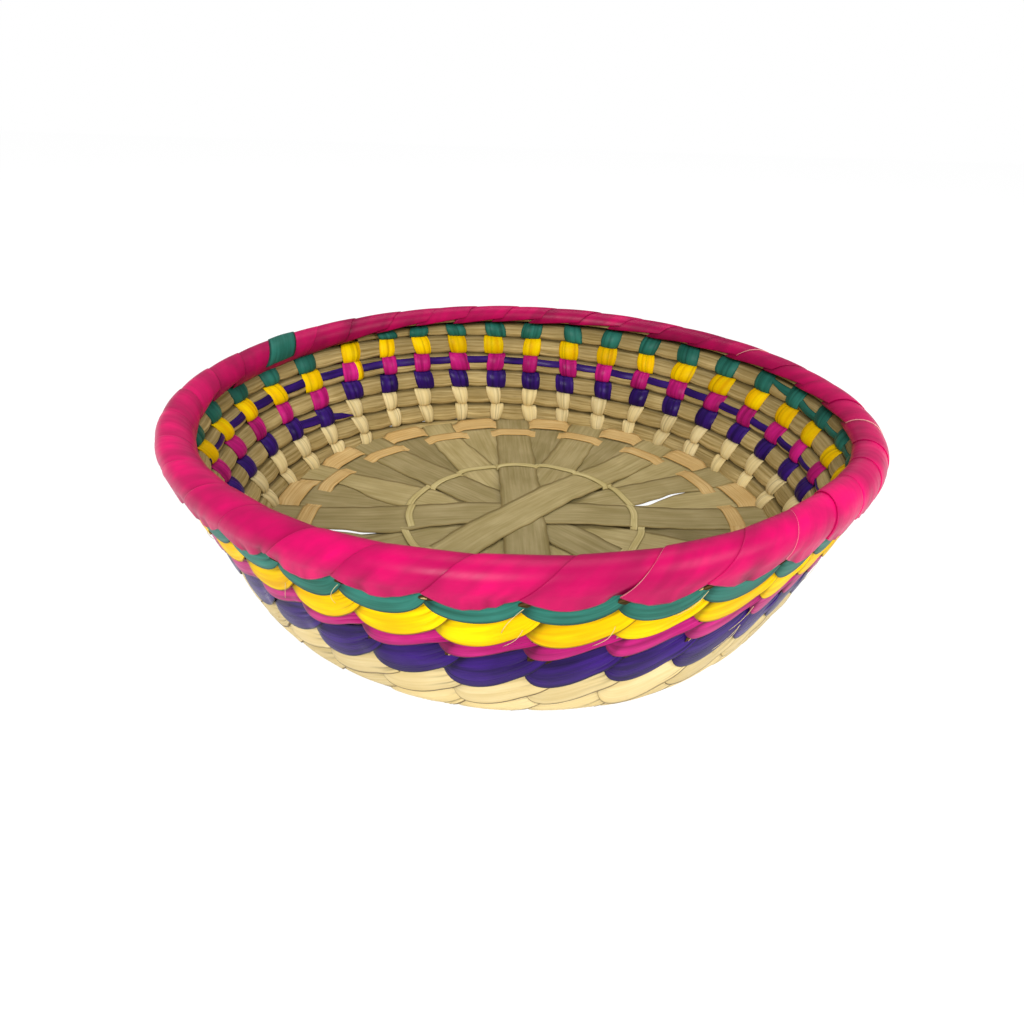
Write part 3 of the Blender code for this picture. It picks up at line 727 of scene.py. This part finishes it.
def winding_tone_and_shade(angle, around, across, folds):
    """Tone of the sides, and painted shade inside, behind, in folds and next to the winding over it."""
    # Painted shade: the inner side and the back are darker, and so is the strip next to the winding that
    # covers it
    inner = smooth((around - 50.0) / 90.0)
    behind = np.maximum(np.sin(np.radians(angle)), 0.0)
    under = smooth((across - 0.76) / 0.07)
    sides = sum(change * bell(angle, at, reach) for at, reach, change in RIM_TONES)
    return sides - 0.3 * inner - 0.3 * behind - 0.4 * under - 0.9 * np.minimum(folds, 1.0)


def rim_windings():
    """Patches on the tube: θ = θi + step (slant (ψ - ψn) + t w), out = r + lift (1 - t) + crown - folds."""
    columns = np.arange(STITCHES)[:, None, None]
    shape = (STITCHES, 1, 1)
    along = np.linspace(0.0, 1.0, RIM_ROWS)[None, :, None]
    across = RIM_ACROSS[None, None, :]
    low, end = winding_reach(shape, columns, across)
    around = low + (end - low) * along
    pitch = RIM_SLANT * np.maximum(around - RIM_NODE, 0.0) + across * RIM_STRIP
    pitch = pitch + rng.uniform(-0.07, 0.07, shape) * np.sin(np.pi * along)
    angle = column_angle(columns + pitch)
    crown = np.sin(np.pi * across) ** 0.7
    swell = RIM_LIFT * (1 - across) + RIM_CROWN * crown - RIM_SINK
    swell = swell + rng.uniform(-RIM_UNEVEN, RIM_UNEVEN, shape)
    folds = creases(1 - along, across, STITCHES)
    side, up = around_rim(around, tube_radius(angle) + swell - CREASE_DEPTH * folds)
    points = bend(TUBE_MIDDLE + side, angle, TUBE_HEIGHT + up)
    uv = strip_uv(along * 32 * MM, across * 27 * MM) + rng.uniform(0.0, 1.0, (*shape, 2))
    tone = rng.uniform(0.35, 0.8, shape) + winding_tone_and_shade(angle, around, across, folds)
    right_side = 0.35 + 0.65 * smooth(1.0 + np.cos(np.radians(angle - PALE_EDGE_AT)))
    pale = right_side * rng.uniform(0.0, 1.0, shape) ** 0.7
    edge = pale * np.clip(1.3 - 30.0 * across, 0.0, 1.3) * np.ones_like(along)
    return points, uv, tone, edge


rim = thicken(leaf_mesh("magenta_rim_windings", *rim_windings(), flip=True), LEAF_THICKNESS)
dress(rim, finishes["magenta"], "rim_palm", "rim_wrap")
print("rim windings:", STITCHES)


# %% The bundle inside the rim
def rim_bundle():
    """A ridged tube, flat below: radius r - inset + relief |sin a|^½, up = max(sin ψ, -flat)."""
    angle = np.linspace(0.0, 360.0, TURN_POINTS, endpoint=False)[:, None]
    around = np.linspace(0.0, 2 * np.pi, SECTION_POINTS, endpoint=False)[None, :]
    phase = around * BUNDLE_LEAVES / 2 + wander(angle, (3, 5, 8), 1.0)
    reach = tube_radius(angle) - RIM_CORE_INSET + LEAF_RELIEF * np.abs(np.sin(phase)) ** 0.5
    up = np.maximum(np.sin(around), -RIM_CORE_FLAT)
    points = bend(TUBE_MIDDLE + reach * np.cos(around), angle, TUBE_HEIGHT + reach * up)
    uv = strip_uv(np.radians(angle) * RIM_RADIUS, around * 5 * MM)
    closed = {"round_rows": True, "round_columns": True}
    return leaf_mesh("rim_leaf_bundle", points[None], uv[None], 0.5, 0.3, flip=True, **closed)


dress(rim_bundle(), finishes["dry"], "dry_palm", "rim_core")
print("rim tube:", round(2 * TUBE_RADIUS / MM, 1), "mm thick")

# %% [markdown]
# ## What the maker's hand left
# No two baskets are alike, and these bits are what makes this one look hand-made. A length of
# purple leaf lies along the bundle under the pink and yellow stitches, the first purple
# stitches have their tail beside them, a green tail slants down the top row, and one pink
# stitch has a yellow strand beside it. One winding of the rim is patched with green. Fine
# fibres and pale slivers of leaf show where the stitches pull through, and dark slivers there
# are painted shade in the gaps. Laid strips follow the coil, so they are drawn on the same map.

# %% Strips laid along the bundle
STRIP_CLEAR, STRIP_CROWN, STRIP_THICKNESS = 0.15 * MM, 0.12 * MM, 0.2 * MM


def bundle_face(offset, angle):
    """How far the bundle stands in: depth (1 - |o / h|^(2 / p))^(p / 2) - pull cos(360° n)."""
    share = np.clip(np.abs(offset) / BUNDLE_HALF_HEIGHT, 0.0, 1.0)
    face = BUNDLE_IN * (1.0 - share ** (2 / BUNDLE_POWER)) ** (BUNDLE_POWER / 2)
    return face - STITCH_PULL * stitch_wave(angle) + STRIP_CLEAR


def laid_strip(name, turn, finish, angles, offsets, halves):
    """A strip on the inner face: level = coil + offset(θ) + u half(θ), out = -(face of the bundle)."""
    angle = np.linspace(angles[0], angles[-1], 241)[:, None]
    across = np.linspace(-1.0, 1.0, 9)[None, :]
    middle, _ = row_span(turn, angle)
    offset = np.interp(angle, angles, offsets) + across * np.interp(angle, angles, halves)
    out = -bundle_face(offset, angle) - STRIP_CROWN * (1 - across ** 2)
    points = wall(angle, middle + offset + wander(angle, (9, 14), 0.015), out)
    uv = strip_uv(np.radians(angle) * RIM_RADIUS, across * 2 * MM)
    piece = leaf_mesh(name, points[None], uv[None], 0.45, np.abs(across) * np.ones_like(angle), flip=True)
    return dress(thicken(piece, STRIP_THICKNESS), finishes[finish], f"{finish}_palm")


# Along each strip: angles, offsets from the middle of the turn in rows, and half widths in rows
laid_strip("purple_laid_strip", 3, "purple",
           (352.0, 372.0, 402.0, 442.0, 504.0, 530.0, 552.0),
           (-0.15, -0.1, 0.1, 0.17, 0.12, 0.0, -0.15),
           (0.05, 0.17, 0.19, 0.18, 0.2, 0.2, 0.1))
laid_strip("purple_tail", 2, "purple",
           (141.0, 144.5, 150.0, 158.5), (-0.3, -0.12, 0.0, 0.12), (0.01, 0.16, 0.24, 0.2))
laid_strip("green_tail", 5, "green",
           (346.0, 372.0, 382.0, 390.0), (-0.2, -0.2, 0.1, 0.33), (0.12, 0.2, 0.2, 0.04))
STRAND_WIDTH, STRAND_COLUMN, STRAND_ASIDE, STRAND_PROUD = 0.2, 37, -0.16, 0.5 * MM
strand = blocks(3, STRAND_WIDTH, 0.9, [STRAND_COLUMN], STRAND_ASIDE, STRAND_PROUD)
dress(thicken(leaf_mesh("yellow_strand", *strand), LEAF_THICKNESS), finishes["yellow"], "yellow_palm")
print("strips laid: 3, and a strand")

# %% The green patch of the rim
# Round the tube the strip goes from below the outside to inside, and slants from its bend
PATCH_FROM, PATCH_TO = 30.0, 196.0
PATCH_BEND_AT, PATCH_BEND = 75.0, 105.0
PATCH_AT, PATCH_WIDTH, PATCH_WIDENING, PATCH_SLANT = 149.0, 6.5, 1.5, 3.4
PATCH_LIFT, PATCH_CROWN = 1.25 * MM, 0.25 * MM


def rim_patch():
    """A strip over the rim: angle θ0 + (w + more s) u + slant s, radius of the tube and a little more."""
    around = np.linspace(PATCH_FROM, PATCH_TO, 41)[:, None]
    across = np.linspace(0.0, 1.0, 15)[None, :]
    share = (around - PATCH_BEND_AT) / PATCH_BEND
    angle = PATCH_AT + (PATCH_WIDTH + PATCH_WIDENING * share) * across + PATCH_SLANT * share
    folds = creases(share * 0.8, across, 1)[0]
    lift = PATCH_LIFT + PATCH_CROWN * np.sin(np.pi * across) - 0.5 * CREASE_DEPTH * folds
    side, up = around_rim(around, tube_radius(angle) + lift)
    points = bend(TUBE_MIDDLE + side, angle, TUBE_HEIGHT + up)
    uv = strip_uv(around / 10 * MM, across * 16 * MM)
    edge = np.abs(2 * across - 1) * np.ones_like(around)
    piece = leaf_mesh("green_rim_patch", points[None], uv[None], 0.5, edge)
    return dress(thicken(piece, LEAF_THICKNESS), finishes["green"], "green_palm")


rim_patch()
print("patch:", PATCH_WIDTH, "degrees of the rim")

# %% Fibres and slivers
# Half a fibre's width and a sliver's length are in columns
FIBRES = 45
FIBRE_OUT, FIBRE_THICKNESS, FIBRE_HALF_WIDTH = 3.4 * MM, 0.1 * MM, 0.003
SLIVER_THICKNESS, SLIVER_LENGTH = 0.15 * MM, 0.28
SLIVER_CROWN, SLIVER_SINK = 0.1 * MM, 0.55 * MM
# Turns, first pitch and drop, rise in rows, and how far out: under the petals and under the rim
UNDER_PETALS = (range(ROWS - 1), 0.13, -0.5, 0.95, 2.8 * MM)
UNDER_RIM = (range(ROWS - 1, ROWS), -0.05, 0.25, 0.08, 2.8 * MM)
LOWEST_SLIVER, HIGHEST_SLIVER = -0.4, ROWS - 0.45


def fibres(count, finish, slot):
    """Ribbons 0.12 mm wide that hang from the nodes outside, with a small bow, lifted by sin(π t)."""
    shape = (count, 1, 1)
    column = rng.integers(0, STITCHES, shape)
    row = rng.integers(1, ROWS, shape)
    along = np.linspace(0.0, 1.0, 9)[None, :, None]
    across = np.array([-1.0, 1.0])[None, None, :]
    reach = rng.uniform(0.12, 0.4, shape)
    fall = rng.uniform(0.5, 1.3, shape)
    bow = rng.uniform(-0.05, 0.05, shape) * np.sin(np.pi * along)
    pitch = 0.05 - reach * along + bow + FIBRE_HALF_WIDTH * across
    level = row + 0.2 - fall * along
    out = FIBRE_OUT + rng.uniform(0.3, 0.9, shape) * np.sin(np.pi * along) * MM
    points = wall(column_angle(column + pitch), level, out)
    piece = leaf_mesh("loose_fibres", points, strip_uv(along * 9 * MM, across * MM), 0.8, 0.3)
    return dress(thicken(piece, FIBRE_THICKNESS), finishes[finish], slot)


def slivers(name, share, widths, finish, slot, where=UNDER_PETALS):
    """Lens shapes that look out from under the ends of the leaves above; the dark ones are painted shade.

    Pitch p + length t and drop d + rise t along, half width w sqrt(t (1 - t)) across, just above
    the leaf below. A share of the nodes has one. None lies under the table or on the rim.
    """
    turns, first_pitch, first_drop, rise, stand = where
    chosen = np.flatnonzero(rng.uniform(0.0, 1.0, len(turns) * STITCHES) < share)
    turn, column = np.divmod(chosen + turns[0] * STITCHES, STITCHES)
    shape = (len(turn), 1, 1)
    turn, column = turn.reshape(shape), column.reshape(shape) + 1
    along = np.linspace(0.0, 1.0, 11)[None, :, None]
    across = np.linspace(-1.0, 1.0, 5)[None, None, :]
    half = rng.uniform(*widths, shape) * np.sqrt(along * (1.0 - along)) * across
    length = rng.uniform(0.7, 1.15, shape)
    pitch = first_pitch + rng.uniform(-0.02, 0.06, shape) + SLIVER_LENGTH * length * along + 0.25 * half
    drop = first_drop + rise * length * along - half
    angle = column_angle(column + pitch)
    middle = turn - 1 + climb(angle) + climb(angle - 360.0)
    out = stand + SLIVER_CROWN * (1 - across ** 2) - SLIVER_SINK * along
    level = np.maximum(middle + drop, LOWEST_SLIVER + 0.02 * across)
    below_rim = level.max((1, 2)) < HIGHEST_SLIVER
    points = wall(angle, level, out)[below_rim]
    tone = rng.uniform(0.2, 0.9, shape)[below_rim]
    piece = leaf_mesh(name, points, strip_uv(along * 7 * MM, across * MM), tone, 0.3)
    print(name, len(points))
    return dress(thicken(piece, SLIVER_THICKNESS), finishes[finish], slot)


fibres(FIBRES, "pale", "pale_palm")
# The dark slivers are painted shade in the gaps under the petals' ends and under the rim
slivers("painted_shade_slivers", 0.9, (0.2, 0.42), "dark", "dry_palm")
slivers("pale_slivers", 0.35, (0.1, 0.3), "twine", "pale_palm")
slivers("painted_shade_rim_slivers", 0.9, (0.2, 0.36), "dark", "dry_palm", UNDER_RIM)
slivers("pale_rim_slivers", 0.5, (0.08, 0.16), "twine", "pale_palm", UNDER_RIM)
print("loose fibres:", FIBRES)

# %% [markdown]
# ## The floor
# The floor starts the basket: eight wide blades cross in the middle, and sixteen more are
# tucked between them. In the middle they pile up, one on the other, and outwards they lie
# side by side. A blade is a long flat grid whose height comes from its place in the pile.

# %% Crossing blades and the blades tucked between them
FLOOR_STRIPS = 8
ARM_STEP = 180.0 / FLOOR_STRIPS
FIRST_STRIP_DIRECTION = 4.25
FLOOR_STRIP_WIDTH = 17.6 * MM
# Place of each blade in the pile, 0 at the bottom. From the pile's end on all lie level
STRIP_LEVELS = (5, 2, 7, 4, 6, 1, 3, 0)
FLOOR_LEVEL = 1.0 * MM
TUCK_LEVEL = 0.55 * MM
PILE_STEP = 0.5 * MM
PILE_START, PILE_END = 23.0 * MM, 65.7 * MM
ARM_END = 106.6 * MM
BLADE_THICKNESS = 0.3 * MM
BLADE_CUP, TUCKED_CUP = 0.12 * MM, 0.1 * MM
BLADE_WAVE = 0.25 * MM
TUCKED_START, TUCKED_UNDER = 36 * MM, 2.5 * MM
# The floor's edge curls up to meet the wall
EDGE_RISE, EDGE_RISE_FROM = 1.2 * MM, 84.0 * MM
# Worn or uneven edges: blade, side, run, reach and depth. Two of them leave slits in the floor
STRIP_NOTCHES = (
    (1, -1, 72 * MM, 12 * MM, 2.8 * MM),
    (0, -1, -55 * MM, 14 * MM, -4.5 * MM),
    (7, 1, 86 * MM, 16 * MM, 6.0 * MM),
    (7, 1, 58 * MM, 14 * MM, -1.8 * MM),
    (5, -1, 90 * MM, 20 * MM, 2.5 * MM),
    (3, 1, -80 * MM, 20 * MM, 2.0 * MM),
)
TUCKED_NOTCHES = (
    (0, 1, 57 * MM, 9.5 * MM, 3.8 * MM),
    (8, -1, 58 * MM, 22 * MM, 7.4 * MM),
    (7, -1, 84 * MM, 24 * MM, -6.0 * MM),
    (4, 1, 90 * MM, 26 * MM, -3.0 * MM),
    (11, -1, 80 * MM, 26 * MM, -3.0 * MM),
)


def along_floor(direction, run, aside, height):
    """Points at a distance along and beside a direction on the floor."""
    angle = direction + np.degrees(np.arctan2(aside, run))
    reach = np.hypot(run, aside)
    rise = EDGE_RISE * smooth((reach - EDGE_RISE_FROM) / (ARM_END - EDGE_RISE_FROM))
    return bend(reach, angle, height + rise)


def half_width(notches, number, run, across, half):
    """Half width of a blade on each side: half minus the sum of depth exp(-((run - at) / reach)²)."""
    half = half * np.ones_like(across * run)
    for blade, side, place, reach, depth in notches:
        if blade == number:
            half = np.where(across * side > 0, half - depth * np.exp(-((run - place) / reach) ** 2), half)
    return half + wander(run / MM * 3.0, (3, 7, 11), BLADE_WAVE) * across


def floor_blade(number):
    """A blade across the floor: height = floor + pile level (1 - smooth share of the run)."""
    run = np.linspace(-ARM_END, ARM_END, 121)[:, None]
    across = np.linspace(-1.0, 1.0, 9)[None, :]
    half = half_width(STRIP_NOTCHES, number, run, across, FLOOR_STRIP_WIDTH / 2)
    share = np.clip((PILE_END - np.abs(run)) / (PILE_END - PILE_START), 0.0, 1.0)
    lift = STRIP_LEVELS[number] * PILE_STEP * share
    cup = BLADE_CUP * (1 - across ** 2)
    direction = FIRST_STRIP_DIRECTION + number * ARM_STEP
    points = along_floor(direction, run, across * half, FLOOR_LEVEL + lift + cup)
    uv = strip_uv(run, across * half) + rng.uniform(0, 1, 2)
    tone = rng.uniform(0.1, 1.0)
    edge = np.abs(across) * np.ones_like(run)
    made = leaf_mesh(f"floor_blade_{number + 1}", points[None], uv[None], tone, edge)
    return thicken(made, BLADE_THICKNESS)


def tucked_blade(number):
    """A blade between two arms and tucked under both: half = run tan(step / 2) - arm / 2 + tuck."""
    run = np.linspace(TUCKED_START, ARM_END, 49)[:, None]
    across = np.linspace(-1.0, 1.0, 9)[None, :]
    gap = np.maximum(run * math.tan(math.radians(ARM_STEP / 2)) - FLOOR_STRIP_WIDTH / 2, 0.0)
    half = half_width(TUCKED_NOTCHES, number, run, across, gap + TUCKED_UNDER)
    cup = TUCKED_CUP * (1 - across ** 2)
    direction = FIRST_STRIP_DIRECTION + (number + 0.5) * ARM_STEP
    points = along_floor(direction, run, across * half, TUCK_LEVEL + cup)
    uv = strip_uv(run, across * half) + rng.uniform(0, 1, 2)
    tone = rng.uniform(0.0, 1.0)
    edge = np.abs(across) * np.ones_like(run)
    made = leaf_mesh(f"tucked_blade_{number + 1}", points[None], uv[None], tone, edge)
    return thicken(made, BLADE_THICKNESS)


for number in range(FLOOR_STRIPS):
    dress(floor_blade(number), finishes["floor"], "floor_palm", f"floor_strip_{number + 1}")
for number in range(2 * FLOOR_STRIPS):
    dress(tucked_blade(number), finishes["floor"], "floor_palm", f"floor_filler_{number + 1}")
print("floor blades:", FLOOR_STRIPS, "and", 2 * FLOOR_STRIPS, "tucked between them")

# %% [markdown]
# ## The twined rings
# Pale strips are twined round the floor to hold it: a narrow pair about 47 mm from the
# middle, and a wide pair near the wall. A strip goes over one arm and under the next, so its
# height is a square wave with rounded corners, round a circle, on top of the pile of arms.

# %% Strips twined round the floor
# A strip that lies over a blade leans up against the wall
RING_LEAN, RING_LEAN_FROM = 1.6 * MM, 97.0 * MM
RING_POINTS = 960
RING_WAVE, RING_LIFT = 0.4 * MM, 0.15 * MM
OVER_SHARPNESS = 4.0


def twined(name, radius, width, over_at, spacing, clear, node, finish):
    """A strip round a circle: height = floor + pile + clear tanh(4 cos(180° (θ - θ0) / spacing))."""
    angle = np.linspace(0.0, 360.0, RING_POINTS + 1)[:-1][:, None]
    across = np.linspace(-1.0, 1.0, 7)[None, :]
    wave = np.cos(np.pi * (angle - FIRST_STRIP_DIRECTION - over_at) / spacing)
    over = np.tanh(OVER_SHARPNESS * wave)
    reach = radius + wander(angle, (5, 9, 16), RING_WAVE) + across * width / 2
    ramp = np.clip((PILE_END - radius) / (PILE_END - PILE_START), 0.0, 1.0)
    arm = np.round((angle - FIRST_STRIP_DIRECTION) / ARM_STEP).astype(int) % FLOOR_STRIPS
    lift = ramp * PILE_STEP * np.array(STRIP_LEVELS)[arm]
    rise = EDGE_RISE * smooth((reach - EDGE_RISE_FROM) / (ARM_END - EDGE_RISE_FROM))
    lean = RING_LEAN * smooth((reach - RING_LEAN_FROM) / (ARM_END - RING_LEAN_FROM)) * np.maximum(over, 0.0)
    height = FLOOR_LEVEL + lift + rise + lean + clear * over + RING_LIFT
    points = bend(reach, angle, height)
    uv = strip_uv(np.radians(angle) * radius, across * width / 2)
    edge = np.abs(across) * np.ones_like(angle)
    made = leaf_mesh(name, points[None], uv[None], 0.5, edge, round_rows=True, flip=True)
    return dress(thicken(made, BLADE_THICKNESS), finishes[finish], "pale_palm", node)


HALF_ARM = ARM_STEP / 2
# Name, radius, width, where it lies over, from one over to the next under, how far, node, finish
RINGS = (
    ("inner_ring_strip_a", 46.6 * MM, 3.0 * MM, 0.0, ARM_STEP, 0.6 * MM, "inner_twine_a", "ring"),
    ("inner_ring_strip_b", 48.6 * MM, 3.0 * MM, ARM_STEP, ARM_STEP, 0.6 * MM, "inner_twine_b", "ring"),
    ("outer_ring_strip_a", 98.8 * MM, 9.0 * MM, HALF_ARM, HALF_ARM, 0.55 * MM, "outer_twine_a", "twine"),
    ("outer_ring_strip_b", 89.0 * MM, 6.6 * MM, 0.0, HALF_ARM, 0.55 * MM, "outer_twine_b", "twine"),
)
for ring in RINGS:
    twined(*ring)
print("strips twined round the floor:", len(RINGS))

# %% [markdown]
# ## A white table
# The basket stands on a table of white paper. More light would make plain paper white, but it
# would bleach the basket too. So the paper mostly glows white for the camera, and for what
# the gloss reflects, and only the rest is lit paper, which keeps a faint shadow.

# %% A white table
TABLE_REACH = 3.0
TABLE_GLOW, GLOW_SHARE = 1.11, 0.86
WHITE = (1.0, 1.0, 1.0, 1.0)


def white_table():
    """A wide plane that looks white and is a little darker in the basket's shadow."""
    sides = ((-1, -1), (1, -1), (1, 1), (-1, 1))
    mesh = bpy.data.meshes.new("white_table")
    mesh.from_pydata([(x * TABLE_REACH, y * TABLE_REACH, 0) for x, y in sides], [], [(0, 1, 2, 3)])
    table = bpy.data.objects.new("white_table", mesh)
    bpy.context.scene.collection.objects.link(table)
    made = bpy.data.materials.new("white table paper")
    made.use_nodes = True
    tree = made.node_tree
    shader = tree.nodes["Principled BSDF"]
    shader.inputs["Base Color"].default_value = linear("#E9E9E9")
    shader.inputs["Roughness"].default_value = 0.9
    glow = add(tree, "ShaderNodeEmission", {}, Color=WHITE, Strength=TABLE_GLOW).outputs[0]
    rays = add(tree, "ShaderNodeLightPath").outputs
    seen = rays["Is Camera Ray"]
    for kind in ("Is Glossy Ray", "Is Transmission Ray"):
        seen = add(tree, "ShaderNodeMath", {"operation": "MAXIMUM"}, _0=seen, _1=rays[kind]).outputs[0]
    share = scaled(tree, seen, 0.0, 1.0, 0.0, GLOW_SHARE)
    look = add(tree, "ShaderNodeMixShader", {}, _0=share, _1=shader.outputs[0], _2=glow).outputs[0]
    tree.links.new(look, tree.nodes["Material Output"].inputs["Surface"])
    mesh.materials.append(made)


white_table()
print("table:", 2 * TABLE_REACH, "m wide")

# %% [markdown]
# ## Soft light
# Three large lamps stand for the windows of a bright room: one from the front left, a weaker
# one from the right, and one above. Their size keeps the shadows soft, and the white world
# fills the inside of the basket. The level is such that a colour renders about as written.

# %% Soft lamps and a white room
FILL_LIGHT = 0.32
# Name, place, aim, size and power
LAMPS = (
    ("key_lamp", (-0.3, -1.1, 0.75), (0, 0, 0.02), 0.5, 13.5),
    ("side_lamp", (0.9, -0.5, 0.6), (0, 0, 0.02), 0.5, 5.5),
    ("top_lamp", (0.1, 0.3, 1.2), (0, 0, 0.0), 0.8, 6.0),
)


def soft_lamp(name, place, aim, size, power):
    """A square area lamp at a place, turned to its aim."""
    lamp = bpy.data.lights.new(name, "AREA")
    lamp.shape = "SQUARE"
    lamp.size = size
    lamp.energy = power
    holder = bpy.data.objects.new(name, lamp)
    holder.location = place
    holder.rotation_euler = (Vector(aim) - Vector(place)).to_track_quat("-Z", "Y").to_euler()
    bpy.context.scene.collection.objects.link(holder)


def white_room():
    """A plain world: white to the camera, a soft grey light to the basket."""
    world = bpy.data.worlds.new("white room")
    bpy.context.scene.world = world
    world.use_nodes = True
    tree = world.node_tree
    tree.nodes.clear()
    seen = add(tree, "ShaderNodeLightPath").outputs["Is Camera Ray"]
    soft = add(tree, "ShaderNodeBackground", {}, Color=WHITE, Strength=FILL_LIGHT).outputs[0]
    white = add(tree, "ShaderNodeBackground", {}, Color=WHITE, Strength=1.0).outputs[0]
    look = add(tree, "ShaderNodeMixShader", {}, _0=seen, _1=soft, _2=white).outputs[0]
    add(tree, "ShaderNodeOutputWorld", {}, Surface=look)


for lamp in LAMPS:
    soft_lamp(*lamp)
white_room()
print("lamps:", len(LAMPS))

# %% [markdown]
# ## The camera
# The camera stands where the photographer stood, close and above the front of the rim. Its
# place, tilt and lens were worked out from the rows of the wall, whose real size is known
# from the CAD model: near rows look larger than far ones, and by how much gives the distance.

# %% The camera
CAMERA_PLACE = (0.13 * MM, -261.3 * MM, 151.1 * MM)
CAMERA_PITCH, CAMERA_YAW, CAMERA_ROLL = 0.5130, -0.0174, -0.0312
CAMERA_LENS, FILM_WIDTH = 25.43, 36.0
NEAREST_SEEN = 5 * MM


def set_camera():
    """Axes from yaw, pitch and roll: forward f, right r and down f × r, turned by the roll."""
    level = math.cos(CAMERA_PITCH)
    forward = Vector((math.sin(CAMERA_YAW) * level, math.cos(CAMERA_YAW) * level, -math.sin(CAMERA_PITCH)))
    right = Vector((math.cos(CAMERA_YAW), -math.sin(CAMERA_YAW), 0.0))
    down = forward.cross(right)
    across = math.cos(CAMERA_ROLL) * right + math.sin(CAMERA_ROLL) * down
    up = math.sin(CAMERA_ROLL) * right - math.cos(CAMERA_ROLL) * down
    turn = Matrix((across, up, -forward)).transposed()
    camera = bpy.data.cameras.new("camera")
    camera.lens = CAMERA_LENS
    camera.sensor_width = FILM_WIDTH
    camera.clip_start = NEAREST_SEEN
    holder = bpy.data.objects.new("camera", camera)
    holder.matrix_world = Matrix.Translation(CAMERA_PLACE) @ turn.to_4x4()
    bpy.context.scene.collection.objects.link(holder)
    bpy.context.scene.camera = holder


set_camera()
bpy.context.scene.view_settings.view_transform = "Standard"
print("camera:", round(math.degrees(CAMERA_PITCH), 1), "degrees down, lens", CAMERA_LENS, "mm")
